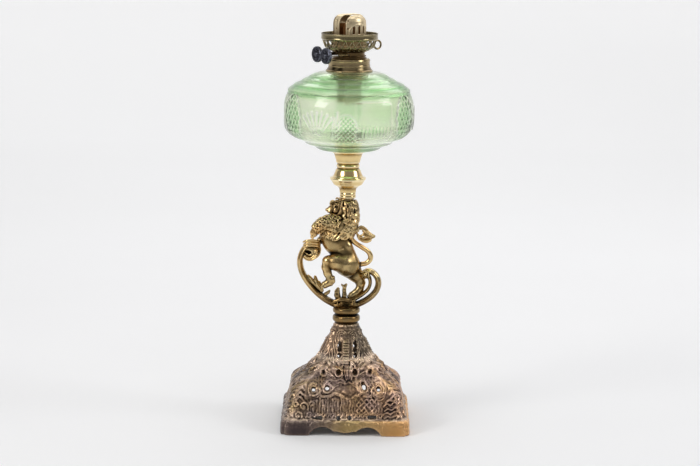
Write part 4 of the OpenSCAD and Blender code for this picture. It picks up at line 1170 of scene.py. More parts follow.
def build_scroll():
    F = Field((-62, -11, 137.5), (46, 11, 226), 0.45)
    strap_solid(F, [(341, 306, 4.4), (333.5, 303.2, 4.2), (324.5, 298.2, 4.0), (315.5, 290.6, 3.9), (307.4, 281, 3.8),
                    (302, 271.4, 3.7), (300, 262, 3.6), (301.4, 254.2, 3.6), (305.4, 247.8, 3.8), (311.2, 243.8, 4.2),
                    (316.4, 245.6, 4.2), (317.2, 250.8, 4.0), (314.2, 255.4, 3.8)], 6.2)
    strap_solid(F, [(344, 306.6, 4.2), (350.7, 305.8, 3.9), (357.7, 304.0, 3.7), (365.7, 300.2, 3.6), (372.0, 295.5, 3.6),
                    (376.4, 290, 3.6), (378.4, 283.4, 3.6), (377.2, 277.4, 3.5), (373.4, 272.8, 3.4), (368.4, 270.8, 3.4),
                    (364.6, 273.2, 3.6)], 6.2)
    strap_solid(F, [(341, 300.8, 3.4), (346.8, 300.6, 3.2), (352.3, 299.6, 3.0), (358.5, 296.6, 2.5), (363.9, 293.0, 2.2),
                    (368.4, 288.4, 2.1), (370.2, 282.6, 2.1), (369.2, 277.4, 2.4), (366.4, 274.8, 2.8)], 4.8, ridge=0.5)
    # volute on the left: a rolled body, ribs over its top, and the dark eye
    F.egg(P(312.4, 250.0, 0), (10.4, 7.6, 11.4), (0, 0, 0), 1.2)
    for i, row in enumerate((241.0, 243.6, 246.2)):
        for yy in (-8.6 + 1.4 * (i == 0), 8.6 - 1.4 * (i == 0)):
            F.chain([Q(*r) for r in spline([(303.4 + 0.3 * i, row + 0.9, yy * 0.62, 1.0), (307.0, row - 0.3, yy * 0.94, 1.35),
                                            (312.0, row - 0.7, yy, 1.4), (316.6, row - 0.2, yy * 0.94, 1.3),
                                            (319.6, row + 1.0, yy * 0.6, 0.9)], 5)], 0.5)
    for s in (-1, 1):
        F.egg(P(308.0, 252.6, s * 8.6), (4.5, 6.4, 2.7), (0, 12, 0), 0.5, True)
        for rad, tube in ((6.2, 1.1), (8.6, 1.0)):
            c = P(309.6, 252.0, 0)
            pts = []
            for a in range(-60, 151, 12):
                t = math.radians(a)
                pts.append((c[0] + rad * math.cos(t), s * (7.6 - 0.16 * abs(a - 40) / 12), c[2] - rad * math.sin(t) * 1.0, tube))
            F.chain(pts, 0.5)
        F.ball(P(316.0, 251.0, s * 7.4), 1.9, 0.8)
        F.ball(P(312.6, 257.0, s * 6.0), 1.7, 0.8)
    # end of the right volute
    F.egg(P(365.4, 274.0, 0), (5.0, 6.6, 6.0), (0, 20, 0), 1.2)
    for s in (-1, 1):
        F.chain([Q(361.4, 272.4, s * 4.6, 0.8), Q(364.4, 270.6, s * 6.4, 1.1), Q(368.2, 272.4, s * 6.4, 1.1),
                 Q(369, 276.4, s * 5.4, 0.9)], 0.5)
        F.ball(P(365.2, 274.8, s * 6.2), 2.2, 0.6)
    # leaf on the left strap, with lobes and veins
    for s in (-1, 1):
        for a in ([(321.6, 290.2, 2.6), (317.4, 284.6, 3.0), (316.0, 280.4, 2.6), (315.2, 276.8, 1.8)],
                  [(318.4, 288.0, 2.4), (313.0, 281.6, 2.6), (310.2, 277.8, 2.1), (308.2, 275.6, 1.4)],
                  [(320.6, 289.0, 2.2), (320.0, 285.2, 2.4), (319.2, 282.2, 1.8)],
                  [(313.0, 283.6, 1.8), (308.2, 279.0, 1.9), (305.6, 276.2, 1.2)],
                  [(325.6, 294.0, 2.2), (328.0, 292.4, 2.0), (329.4, 290.8, 1.3)]):
            F.chain([Q(px, py, s * 3.4, r) for px, py, r in a], 0.6)
            F.chain([(*P(px - 0.2, py, s * (3.4 + r * 0.9)), 0.55) for px, py, r in a], 0.4)
    F.chain([Q(320, 291, 0, 3.4), Q(313, 282, 0, 3.2), Q(308, 277, 0, 2.2)], 1.0)
    # two buds and the knot they grow from
    for s in (-1, 1):
        F.chain([Q(339.0, 300, s * 3.0, 3.6), Q(337.2, 295, s * 3.6, 3.6), Q(337.2, 291.4, s * 3.4, 3.1), Q(338.0, 288.8, s * 2.6, 2.0)], 0.8)
        F.chain([Q(335.6, 297, s * 6.4, 0.7), Q(335.2, 292, s * 6.2, 0.8), Q(337.0, 288.6, s * 4.6, 0.6)], 0.4)
        F.chain([Q(338.4, 297, s * 6.8, 0.7), Q(338.6, 292.4, s * 6.4, 0.8), Q(338.2, 288.6, s * 4.6, 0.6)], 0.4)
        F.chain([Q(343.6, 301, s * 2.6, 3.2), Q(344.4, 295, s * 2.8, 2.7), Q(344.2, 290, s * 2.4, 2.2), Q(344.6, 286.4, s * 2.0, 2.3),
                 Q(346.2, 284.6, s * 1.6, 1.5)], 0.8)
        F.chain([Q(343.6, 286.6, s * 3.0, 1.0), Q(342.2, 285.2, s * 2.8, 1.2), Q(341.6, 284.2, s * 2.0, 0.8)], 0.5)
        F.chain([Q(334.4, 301.5, s * 5.4, 2.4), Q(340, 299.5, s * 6.8, 2.6), Q(347, 300.4, s * 6.8, 2.6), Q(354, 301.4, s * 5.4, 2.2)], 1.0)
        F.chain([Q(336, 305.4, s * 6.0, 2.2), Q(343, 303.6, s * 8.2, 2.2), Q(350, 304.4, s * 8.2, 2.2), Q(357, 304.4, s * 5.2, 1.8)], 0.9)
        for px in (337, 341, 345, 349, 353):
            F.chain([Q(px, 300.6, s * 8.2, 0.6), Q(px + 0.6 * (345 - px) / 8, 305.6, s * 10.0, 0.8)], 0.5)
    F.egg(P(345.5, 303.4, 0), (13.2, 9.6, 5.6), (0, 0, 0), 1.5)
    # round seat on the knop, bored for the stud
    X, Y, Z = F.ax[0][:, None, None], F.ax[1][None, :, None], F.ax[2][None, None, :]
    r = np.hypot(X, Y)
    seat = np.maximum(np.maximum(r - (10.3 + 0.4 * np.cos(12 * np.arctan2(Y, X)) * (Z > 139.4)) , 138.0 - Z), Z - 144.0)
    F.d = smin(F.d, seat.astype(np.float32), 1.2)
    F.d = np.maximum(F.d, (138.0 - Z).astype(np.float32))
    bore = np.maximum(r - 5.05, Z - 147.0)
    F.d = np.maximum(F.d, -bore.astype(np.float32))
    return F.mesh("scrolls_cast", 2.4, 1.5)


put(build_scroll(), "stand", "antique_brass", M_ANTIQUE, "scroll_bracket")
# >>scroll

# <<foot
# --------------------------------------------------------------------- foot
FOOT_Z = [0, 15.5, 17, 19.5, 27, 38, 45, 49, 52.5, 56, 60, 63.5, 67, 71, 72.8, 74.4, 79, 82, 84, 90, 119]
FOOT_H = [73.7, 73.3, 72.0, 69.8, 67.2, 65.0, 64.0, 62.2, 59.3, 55.0, 50.9, 46.0, 43.2, 41.4, 38.6, 35.6, 33.6, 31.6, 29.9, 27.2, 13.6]
FOOT_M = [16, 16, 16, 13, 10, 8, 6.8, 5.8, 4.9, 4.2, 3.6, 3.1, 2.9, 2.8, 2.8, 2.7, 2.3, 2.1, 2.0, 2.0, 2.0]


def face_pt(px, py):
    """(u, z) on the foot's near face behind a picture point."""
    z = 40.0
    for _ in range(12):
        z = 0.5 * z + 0.5 * P(px, py, -np.interp(z, FOOT_Z, FOOT_H))[2]
    return P(px, py, -np.interp(z, FOOT_Z, FOOT_H))[0], z


MS = 0.4
MU = np.arange(-76, 76.01, MS)
MZ = np.arange(-2, 122.01, MS)


class Relief:
    def __init__(self):
        self.h = np.zeros((len(MU), len(MZ)), np.float32)

    def window(self, pts, m):
        p = np.asarray(pts, float)
        i0 = max(0, int((p[:, 0].min() - m + 76) / MS))
        i1 = min(len(MU), int((p[:, 0].max() + m + 76) / MS) + 2)
        j0 = max(0, int((p[:, 1].min() - m + 2) / MS))
        j1 = min(len(MZ), int((p[:, 1].max() + m + 2) / MS) + 2)
        return (slice(i0, i1), slice(j0, j1)), MU[i0:i1, None], MZ[None, j0:j1]

    def line(self, pts, r, h, cut=False, soft=2.0, taper=0.0):
        """Ridge (or groove) of half width r and height h along points in mm."""
        p = np.asarray(pts, float)
        sl, U, Z = self.window(p, r * 1.6 + 1)
        best = np.full((U.shape[0], Z.shape[1]), 99.0)
        along = np.zeros_like(best)
        n = len(p) - 1
        for i in range(n):
            a, ba = p[i], p[i + 1] - p[i]
            L2 = max(float(ba @ ba), 1e-9)
            t = np.clip(((U - a[0]) * ba[0] + (Z - a[1]) * ba[1]) / L2, 0, 1)
            d = np.hypot(U - a[0] - t * ba[0], Z - a[1] - t * ba[1])
            near = d < best
            best = np.where(near, d, best)
            along = np.where(near, (i + t) / n, along)
        rr = r * (1 - taper * along)
        prof = h * (1 - taper * 0.5 * along) * np.sqrt(np.clip(1 - (best / rr) ** soft, 0, 1))
        c = self.h[sl]
        self.h[sl] = c - prof if cut else np.maximum(c, prof)

    def px(self, pts, r, h, per=4, both_sides=False, **kw):
        p = np.array([face_pt(a, b) for a, b in (spline(pts, per) if len(pts) > 2 else pts)])
        self.line(p, r, h, **kw)
        if both_sides:
            self.line(p * np.array([-1, 1]), r, h, **kw)

    def dome(self, px, py, ru, rz, h, both_sides=False, power=1.0):
        u0, z0 = face_pt(px, py)
        for s in ((1, -1) if both_sides else (1,)):
            sl, U, Z = self.window([(s * u0 - ru, z0 - rz), (s * u0 + ru, z0 + rz)], 1)
            q = ((U - s * u0) / ru) ** 2 + ((Z - z0) / rz) ** 2
            self.h[sl] = np.maximum(self.h[sl], h * np.clip(1 - q, 0, 1) ** (0.5 * power))

    def ring(self, px, py, r0, r, h, a0=0, a1=360, both_sides=False, grow=0.0, **kw):
        """Arc about a picture point; radius in mm, angles from the right, anticlockwise."""
        u0, z0 = face_pt(px, py)
        a = np.radians(np.linspace(a0, a1, max(6, int(abs(a1 - a0) / 14))))
        rad = r0 + grow * np.linspace(0, 1, len(a))
        pts = np.stack([u0 + rad * np.cos(a), z0 + rad * np.sin(a)], 1)
        self.line(pts, r, h, **kw)
        if both_sides:
            self.line(pts * np.array([-1, 1]), r, h, **kw)


def apron(u):
    """Height of the apron's lower edge."""
    e = np.zeros_like(u)
    for c in (-26.0, 26.0):
        e = np.maximum(e, np.where(np.abs(u - c) < 18, np.sqrt(np.clip(18 ** 2 - (u - c) ** 2, 0, None)) - 8, 0))
    return np.where(np.abs(u) < 13, np.maximum(e, 4.0 - 0.9 * np.cos(u / 12 * math.pi)), e)


def foot_relief():
    R = Relief()
    # strands like standing corn above the band, uneven, each with a rounded head
    u = -42.5
    while u < 42:
        top = 41.0 + rng.uniform(-2.2, 2.6) - (2.6 if abs(u) > 30 else 0)
        low = 25.0 + rng.uniform(-1.2, 2.6)
        wob = rng.uniform(-0.8, 0.8)
        r = rng.uniform(1.05, 1.7)
        if not (13 < u < 37):
            zz = np.linspace(low, top, 6)
            R.line(np.stack([u + wob * np.sin((zz - low) * 0.42) + 0.5 * wob, zz], 1), r, rng.uniform(0.75, 1.35))
            if rng.uniform() < 0.6:
                R.line([(u, low + 3), (u + 0.4 * wob, top - 2.4)], 0.42, 0.5, cut=True)
            R.line([(u - 1.3, top + 0.2), (u + 0.3 * wob, top + 1.9), (u + 1.3, top + 0.4)], 0.75, rng.uniform(0.5, 1.0))
        u += r * 2.0 + rng.uniform(0.15, 0.75)
    # a plaited patch to one side
    for i in range(8):
        for j in range(5):
            x, z = 14.6 + 3.0 * i, 26.4 + 3.4 * j + 0.5 * (i % 2)
            t = 1 if (i + j) % 2 else -1
            R.line([(x - 1.3, z - 1.5 * t), (x, z + 0.3 * t), (x + 1.5, z + 1.7 * t)], 0.95, rng.uniform(0.7, 1.3), taper=0.3)
    # leaves between the reeds and the band
    for i, u in enumerate(np.arange(-43, 44, 5.1)):
        R.line([(u - 2.2, 20.4), (u - 0.6, 23.4), (u + 1.8, 24.6)], 1.0, 1.0)
        R.line([(u + 2.2, 20.4), (u + 0.6, 22.6), (u - 1.4, 25.2)], 0.8, 0.8)
    # a narrow slit on the right shoulder
    R.line([face_pt(384.6, 378.4), face_pt(384.2, 381.0), face_pt(385.2, 383.6)], 1.0, 3.2, cut=True)
    # smooth ovals with rims
    R.dome(348.6, 389.6, 8.6, 6.4, 1.9, power=1.6)
    R.ring(348.6, 389.6, 10.2, 0.9, 0.8, 205, 335)
    R.dome(308.6, 396.0, 7.0, 5.2, 1.8, power=1.6)
    R.ring(308.6, 396.0, 8.2, 0.8, 0.7, 170, 330)
    R.dome(379.4, 394.6, 5.2, 4.2, 2.0)
    R.ring(379.4, 394.6, 6.4, 0.9, 1.2, -200, 40)
    R.px([(330, 396.5), (335, 393.5), (341, 395.6), (343, 397)], 2.0, 1.4)
    R.px([(357, 396), (362, 393.4), (368, 395.2), (371, 397)], 1.8, 1.3)
    # open scrolls round the middle holes
    for px, sgn in ((313.5, 1), (378.4, -1)):
        a0, a1 = (60, 330) if sgn > 0 else (120, -150)
        R.ring(px, 389.8, 6.2, 1.5, 2.1, a0, a1)
        R.ring(px, 389.8, 8.8, 1.0, 1.4, a0, a1)
    R.px([(318.5, 386.6), (320.5, 390), (319.6, 394), (323, 396.6), (328, 396)], 1.5, 1.8)
    R.px([(373.2, 386.6), (371.2, 390), (372.2, 394), (368.8, 396.8), (364, 396.2)], 1.5, 1.8)
    for px in (327.1, 363.7):
        R.ring(px, 388.0, 4.8, 1.0, 1.5, 20, 340)
    # long sprays rising to the corners, each of several strands
    for k in range(4):
        o = 2.1 * k
        R.px([(355.5, 378.5 + o), (361, 373.6 + o), (368, 371.4 + o * 0.8), (375, 373.6 + o * 0.7), (381, 378.6 + o * 0.6),
              (386, 386.5 + o * 0.4)], 0.95, 1.7 - 0.15 * k, both_sides=True)
    for k in range(3):
        R.px([(352.6, 381.6 + 1.8 * k), (356.4, 383.4 + 1.9 * k), (358.6, 388 + 1.4 * k)], 0.8, 1.3, both_sides=True)
    # scales under the sprays
    for i in range(5):
        for j in range(4):
            px = 359.6 + 3.1 * i + 1.5 * (j % 2)
            py = 379.0 + 2.1 * j + 0.35 * i
            R.ring(px, py, 1.7, 0.55, 1.0, 180, 360, both_sides=True)
    # upright ribs at the shoulders
    for i in range(7):
        R.px([(303.6 + 3.0 * i, 384.5), (304.6 + 2.85 * i, 378.5), (306.2 + 2.6 * i, 374.2 - 0.3 * i)], 1.05, 1.4 - 0.05 * i)
        R.px([(387.4 - 3.0 * i, 384.5), (386.6 - 2.85 * i, 378.5), (385.2 - 2.6 * i, 374.2 - 0.3 * i)], 1.0, 1.0 - 0.05 * i)
    # bud and boss on the middle line, with curling side leaves
    R.dome(348.8, 371.4, 4.6, 8.4, 3.6)
    R.px([(346.2, 364), (344.6, 371), (346.4, 379.4)], 1.0, 2.4)
    R.px([(351.4, 364), (353.0, 371), (351.4, 379.4)], 1.0, 2.4)
    R.dome(348.6, 364.6, 6.6, 3.8, 4.6)
    R.px([(342.0, 366.2), (344.6, 362.2), (348.6, 360.6), (352.4, 362.2), (355.0, 366.2)], 1.2, 3.2)
    R.px([(348.8, 366), (348.8, 379)], 0.6, 1.0, cut=True)
    for px in (338.6, 354.9, 323.4, 369.9):
        R.ring(px, 372.2, 4.2, 1.2, 2.0, 170, 370)
    R.px([(344.8, 381.5), (340.5, 378.8), (335, 380.6), (330.5, 379.2), (326, 381.8)], 1.2, 1.7)
    R.px([(345.2, 384), (340.5, 382), (335.5, 384), (332, 385.4)], 0.9, 1.3)
    R.px([(343, 375), (341.4, 379), (345.6, 383.6), (349, 382), (352.4, 383.6), (356.6, 379), (355, 375)], 0.9, 1.5)
    for px, py, s in ((331, 366.4, 1), (363.6, 366.4, -1)):
        for k in range(3):
            R.px([(px - 6 * s, py + 4 - k), (px - 2 * s, py - 1 - 1.6 * k), (px + 4 * s, py + 0.6 - 1.6 * k), (px + 7 * s, py + 4)], 0.9, 1.5 - 0.2 * k)
    R.px([(371, 359.8), (366, 364.2), (361, 367.6)], 2.2, 1.9)
    R.px([(325, 359.8), (330, 364.2), (335, 367.6)], 2.2, 1.7)
    # corners: waves to one side, curls to the other
    for k in range(6):
        y0 = 401.0 + 4.0 * k
        j = [rng.uniform(-0.9, 0.9) for _ in range(6)]
        x0 = 384.6 - 1.2 * (k % 2) + (1.6 if k == 0 else 0)
        R.px([(x0, y0 + 1.8 + 0.4 * j[0]), (x0 + 3.4, y0 - 0.6 + j[1] * 0.7), (x0 + 7.2, y0 + 0.7 + j[2] * 0.7),
              (x0 + 10.6, y0 - 1.5 + j[3] * 0.8), (x0 + 14.6, y0 - 0.4 + j[4]), (x0 + 17.5, y0 + 1.4)], 1.25 + 0.25 * j[5], 1.25 + 0.3 * j[4], taper=0.45)
        if k in (1, 3, 4):
            R.px([(x0 + 1.2, y0 + 3.4), (x0 + 4.4, y0 + 1.8), (x0 + 8.0, y0 + 2.6)], 0.7, 0.8, taper=0.4)
    for k in range(3):
        R.px([(399.0 + 0.6 * k, 404 + 6 * k), (396.4, 407.4 + 6 * k), (398.4, 411.4 + 6 * k)], 0.9, 1.0)
    for px, py, r in ((303.6, 406.6, 5.4), (298.2, 415.4, 4.4), (309.4, 415.2, 3.6), (295.8, 405.2, 3.2), (311.6, 404.0, 3.2)):
        R.ring(px, py, r, 1.2, 1.6, -30 + 40 * (r < 4), 330 + 60 * (r < 4), grow=-r * 0.62)
        R.dome(px, py, r * 0.34, r * 0.34, 1.2)
    # upper corners, leaves folded over the edge
    for k in range(5):
        R.px([(386.6 + 1.1 * k, 382 + 4.2 * k), (390.2 + 0.9 * k, 380.2 + 4.2 * k), (394 + 0.8 * k, 383.6 + 4.3 * k)], 1.3, 1.7)
        R.px([(306.4 - 1.1 * k, 382 + 4.2 * k), (302.6 - 0.9 * k, 380.2 + 4.2 * k), (298.8 - 0.8 * k, 383.6 + 4.3 * k)], 1.3, 1.7)
    # the neck: beaded rib, arches and long wavy leaves
        c = np.abs(MU)[:, None]
    on = (1 - sstep(3.4, 4.4, c)) * sstep(74, 76, MZ)[None, :] * (1 - sstep(101.5, 103.5, MZ))[None, :]
    bead = 1.5 * np.abs(np.cos(math.pi * (MZ - 74.6) / 2.85))[None, :] ** 0.8
    R.h = R.h * (1 - (1 - sstep(4.6, 5.6, c)) * sstep(74, 76, MZ)[None, :] * (1 - sstep(101.5, 103.5, MZ))[None, :])
    R.h = R.h + (on * (0.5 + bead)).astype(np.float32)
    for sg in (-1, 1):
        for k in range(3):
            R.ring(347.4 + sg * 5.8, 335.6, 1.6 + 2.1 * k, 0.75, 0.95, 0 if sg > 0 else 30, 150 if sg > 0 else 180)
    for s in (1, -1):
        for k in range(7):
            u0 = 10.4 + 2.6 * k
            zz = np.linspace(78.5 - 0.4 * k, 106 - 3.2 * k, 12)
            w = 0.75 * np.sin(zz * 0.62 + 1.3 * k)
            uu = s * (u0 * (1.28 - 0.0092 * (zz - 60)) + w)
            R.line(np.stack([uu, zz], 1), 0.9, 1.15)
        R.line([(s * 6.4 - 2.6, 100.5), (s * 6.4 - 2.4, 91), (s * 6.3 - 2.6, 84)], 0.7, 1.0)
        R.line([(s * 6.4 + 2.6, 100.5), (s * 6.4 + 2.5, 91), (s * 6.5 + 2.7, 84)], 0.7, 1.0)
        R.ring(347.2 + s * 8.0, 355.7, 3.0, 0.8, 1.2, 180, 360)
    # rim below the knop
    rim = 0.7 * np.exp(-((MZ - 117.2) / 1.3) ** 2) + 0.5 * np.exp(-((MZ - 113.6) / 0.9) ** 2)
    R.h = np.maximum(R.h, rim[None, :].astype(np.float32))
    # smooth band that follows the apron, with a bead along its top
    e = apron(MU)[:, None]
    zr = MZ[None, :]
    plate = 1 - sstep(17.6, 19.0, zr - 0.05 * e)
    R.h = R.h * (1 - plate)
    band = 0.35 + 0.8 * sstep(0.0, 1.2, zr - e) * (1 - sstep(7.5, 9.5, zr - e * 0.9 - 2.0))
    block = sstep(43.0, 44.0, np.abs(MU))[:, None]
    R.h = R.h + plate * (band + block * 0.95)
    R.h = np.maximum(R.h, (1.0 * np.exp(-((zr - 18.6 - 0.06 * e) / 0.8) ** 2) * (np.abs(MU)[:, None] < 72)).astype(np.float32))
    # casting grain
    g = rng.normal(size=R.h.shape).astype(np.float32)
    for _ in range(3):
        g = (g + np.roll(g, 1, 0) + np.roll(g, -1, 0) + np.roll(g, 1, 1) + np.roll(g, -1, 1)) / 5
    g2 = g.copy()
    for _ in range(12):
        g2 = (g2 + np.roll(g2, 1, 0) + np.roll(g2, -1, 0) + np.roll(g2, 1, 1) + np.roll(g2, -1, 1)) / 5
    R.h = R.h + 0.16 * g / g.std() * 0.5 + 0.14 * g2 / g2.std()
    return R.h


def foot_holes(far_side=False):
    """Signed distance in (u, z) to the nearest hole, below 0 inside one."""
    out = np.full((len(MU), len(MZ)), 9.0)
    U, Z = MU[:, None], MZ[None, :]

    def cap(a, b, ra, rb):
        a, b = np.array(a), np.array(b)
        ba = b - a
        t = np.clip(((U - a[0]) * ba[0] + (Z - a[1]) * ba[1]) / max(float(ba @ ba), 1e-9), 0, 1)
        return np.hypot(U - a[0] - t * ba[0], Z - a[1] - t * ba[1]) - (ra + t * (rb - ra))

    def px(a, b, ra, rb):
        nonlocal out
        out = np.minimum(out, cap(face_pt(*a), face_pt(*b), ra, rb))

    px((312.6, 418.4), (320.8, 417.8), 0.7, 2.1)
    px((338.3, 418.4), (338.4, 418.0), 2.3, 2.3)
    px((349.5, 418.2), (349.6, 417.8), 2.3, 2.3)
    px((369.2, 417.4), (374.8, 417.4), 2.1, 2.1)
    if far_side:
        # light shows through the middle row in the picture, so the far wall is open where those sight lines meet it
        for a, b, r in (((39.0, 19.2), (39.0, 20.4), 2.0), ((22.4, 20.6), (22.4, 22.2), 2.5),
                        ((-22.6, 22.6), (-22.2, 25.6), 2.1), ((-40.2, 20.0), (-40.2, 21.2), 1.9)):
            out = np.minimum(out, cap(a, b, r, r))
    px((313.6, 389.8), (313.4, 389.6), 2.5, 2.5)
    px((327.1, 388.3), (327.0, 388.1), 2.8, 2.8)
    px((362.8, 383.6), (364.4, 387.8), 2.0, 2.8)
    px((378.4, 389.9), (378.2, 389.5), 2.3, 2.3)
    px((323.3, 372.6), (323.3, 372.2), 2.0, 2.0)
    px((338.4, 372.9), (338.6, 371.6), 2.5, 2.5)
    px((354.8, 372.9), (354.7, 371.6), 2.5, 2.6)
    px((369.9, 372.6), (369.9, 372.2), 2.1, 2.1)
    px((384.5, 378.6), (384.6, 382.2), 0.7, 1.5)
    px((339.8, 343.4), (339.4, 350.2), 2.0, 2.4)
    px((354.7, 343.4), (355.1, 350.8), 2.0, 2.4)
    px((339.2, 356.0), (339.4, 355.4), 2.2, 2.3)
    px((355.4, 356.6), (355.2, 355.6), 1.9, 2.4)
    px((363.4, 341.8), (366.2, 349.6), 0.6, 1.0)
    return out


REL = foot_relief()
HOL = foot_holes().astype(np.float32)


def bilinear(arr, U, Z):
    i = np.clip((U + 76) / MS, 0, arr.shape[0] - 1.001)
    j = np.clip((Z + 2) / MS, 0, arr.shape[1] - 1.001)
    i0, j0 = i.astype(np.int32), j.astype(np.int32)
    fi, fj = (i - i0).astype(np.float32), (j - j0).astype(np.float32)
    return (arr[i0, j0] * (1 - fi) * (1 - fj) + arr[i0 + 1, j0] * fi * (1 - fj)
            + arr[i0, j0 + 1] * (1 - fi) * fj + arr[i0 + 1, j0 + 1] * fi * fj)


def foot_distance(F, holes=None):
    holes = HOL if holes is None else holes
    X, Y, Z = np.broadcast_arrays(F.ax[0][:, None, None], F.ax[1][None, :, None], F.ax[2][None, None, :])
    ax, ay = np.abs(X), np.abs(Y)
    nearfar = ay >= ax
    n = np.where(nearfar, ay, ax)
    u = np.where(nearfar, np.where(Y < 0, X, -X), np.where(X > 0, Y, -Y))
    z1 = F.ax[2]
    H = np.interp(z1, FOOT_Z, FOOT_H)
    M = np.interp(z1, FOOT_Z, FOOT_M)
    slope = np.gradient(H, z1)
    c = (1 / np.sqrt(1 + slope ** 2)).astype(np.float32)[None, None, :]
    H = H.astype(np.float32)[None, None, :]
    M = M.astype(np.float32)[None, None, :]
    big = np.maximum(n, 1e-3)
    rho = big * (1 + (np.abs(u) / big) ** M) ** (1 / M)
    rel = bilinear(REL, u, Z)
    # the pattern dies away at the corners into one rounded rib, alike on both sides
    edge = n - np.abs(u)
    w = sstep(0.0, 4.5, edge).astype(np.float32)
    rib = 0.7 + 0.45 * np.sin(Z * 1.25)
    rel = rel * w + (1 - w) * rib * sstep(19, 22, Z) * (1 - sstep(78, 84, Z))
    rel = np.where(Z < 17, np.minimum(rel, 1.9), rel)
    d_out = (rho - H - rel) * c
    d_in = (H - 4.2 / c + 0.35 * rel - rho) * c
    d = np.maximum(d_out, d_in)
    hole = bilinear(holes, u, Z)
    lip = np.exp(-((hole - 0.6) / 0.9) ** 2) * 0.0
    d = -smin(-d, hole * np.float32(0.92) + lip, 0.6)
    # the apron's scalloped edge
    e = np.interp(u.ravel(), MU, apron(MU)).reshape(u.shape).astype(np.float32)
    d = -smin(-d, Z - e, 0.6)
    return d.astype(np.float32), n, u


def build_wall(holes=None):
    F = Field((-76, -76, -1.5), (76, -24, 83), 0.59)
    d, n, u = foot_distance(F, holes)
    X, Y = F.ax[0][:, None], F.ax[1][None, :]
    wedge = ((np.abs(X) + Y) * 0.70711 - 0.35)[:, :, None].astype(np.float32)
    Z = F.ax[2][None, None, :]
    d = np.maximum(np.maximum(d, wedge), np.maximum(Z - 80.3, 0.02 - Z))
    F.d = d.astype(np.float32)
    return F


def wall_mesh(holes=None):
    wall = build_wall(holes)
    v, t, q = wall.polygons()
    c = 1.45 * (wall.sample(wall.blurred(2.2), v) + 0.6 * wall.sample(wall.blurred(5.2), v))
    # darker and lighter patches on the wall, the same on each side; the bright spot on the boss is a painted highlight
    for px, py, ru, rz, k in ((348.6, 389.6, 9.5, 7.5, -0.55), (308.6, 396.0, 8.5, 6.5, -0.6), (347.8, 376.5, 6.5, 9.0, -0.45),
                              (318.0, 380.0, 11.0, 6.5, -0.35), (364.0, 378.0, 11.0, 7.0, -0.3), (388.6, 411.0, 9.0, 13.0, -0.3),
                              (330.0, 405.0, 16.0, 7.0, 0.2), (395.0, 390.0, 9.0, 12.0, 0.2), (349.0, 364.6, 4.0, 4.0, 0.35)):
        u0, z0 = face_pt(px, py)
        c = c + k * np.exp(-(((v[:, 0] - u0) / ru) ** 2 + ((v[:, 2] - z0) / rz) ** 2) ** 1.5)
    return v, t, q, np.clip(c, -1, 1)


near_wall = wall_mesh()
far_wall = wall_mesh(foot_holes(True).astype(np.float32))
for k, name in enumerate(("front", "right", "back", "left")):
    a = math.radians(90 * k)
    rot = np.array([[math.cos(a), -math.sin(a), 0], [math.sin(a), math.cos(a), 0], [0, 0, 1]])
    wv, wt, wq, wc = far_wall if name == "back" else near_wall
    put(write_mesh("foot_wall_" + name, wv @ rot.T, wt, wq, cav=wc), "stand", "bronzed_iron", M_IRON, "base_wall_" + name)
del near_wall, far_wall


def build_cone():
    F = Field((-37, -37, 78), (37, 37, 120.5), 0.5)
    d, n, u = foot_distance(F)
    X, Y, Z = F.ax[0][:, None, None], F.ax[1][None, :, None], F.ax[2][None, None, :]
    r = np.hypot(X, Y)
    # solid top, bored for the stud
    top = np.maximum(r - np.interp(F.ax[2], FOOT_Z, FOOT_H)[None, None, :] + 0.6, 104.0 - Z)
    d = np.minimum(d, top)
    d = np.maximum(d, np.maximum(Z - 119.0, 79.7 - Z))
    d = np.maximum(d, 5.1 - r)
    F.d = d.astype(np.float32)
    return F.mesh("foot_cone", 2.2, 1.45)


put(build_cone(), "stand", "bronzed_iron", M_IRON, "base_cone")
# >>foot

# <<burner
# ------------------------------------------------------------------- burner
def outline_field(F, profile, step=0.12):
    """Distances of the solid of revolution whose closed (r, z) outline is given."""
    p = np.asarray(profile, float)
    r0, r1 = 0.0, p[:, 0].max() + 3
    z0, z1 = p[:, 1].min() - 3, p[:, 1].max() + 3
    r = np.arange(r0, r1, step)
    z = np.arange(z0, z1, step)
    R, Z = np.meshgrid(r, z, indexing="ij")
    best = np.full(R.shape, 9.0)
    inside = np.zeros(R.shape, bool)
    for a, b in zip(p, np.roll(p, -1, 0)):
        ba = b - a
        t = np.clip(((R - a[0]) * ba[0] + (Z - a[1]) * ba[1]) / max(float(ba @ ba), 1e-9), 0, 1)
        best = np.minimum(best, np.hypot(R - a[0] - t * ba[0], Z - a[1] - t * ba[1]))
        if a[1] != b[1]:
            hit = ((a[1] > Z) != (b[1] > Z)) & (R < (b[0] - a[0]) * (Z - a[1]) / (b[1] - a[1]) + a[0])
            inside ^= hit
    sd = np.where(inside, -best, best).astype(np.float32)
    rr = np.hypot(F.ax[0][:, None], F.ax[1][None, :])
    i = np.clip((rr - r0) / step, 0, len(r) - 1.001)
    i0 = i.astype(int)
    fi = (i - i0).astype(np.float32)[:, :, None]
    j = np.clip((F.ax[2] - z0) / step, 0, len(z) - 1.001)
    j0 = j.astype(int)
    fj = (j - j0).astype(np.float32)[None, None, :]
    g = lambda di, dj: sd[(i0 + di)[:, :, None], (j0 + dj)[None, None, :]]
    return g(0, 0) * (1 - fi) * (1 - fj) + g(1, 0) * fi * (1 - fj) + g(0, 1) * (1 - fi) * fj + g(1, 1) * fi * fj


def turn(ob, deg=216.0):
    """Turns a mesh's own points from the burner's directions to the lamp's."""
    n = len(ob.data.vertices)
    co = np.empty(n * 3, np.float32)
    ob.data.vertices.foreach_get("co", co)
    co = co.reshape(-1, 3)
    a = math.radians(deg)
    R = np.array([[math.cos(a), -math.sin(a), 0], [math.sin(a), math.cos(a), 0], [0, 0, 1]])
    ob.data.vertices.foreach_set("co", (co @ R.T).astype(np.float32).reshape(-1))
    ob.data.update()
    return ob


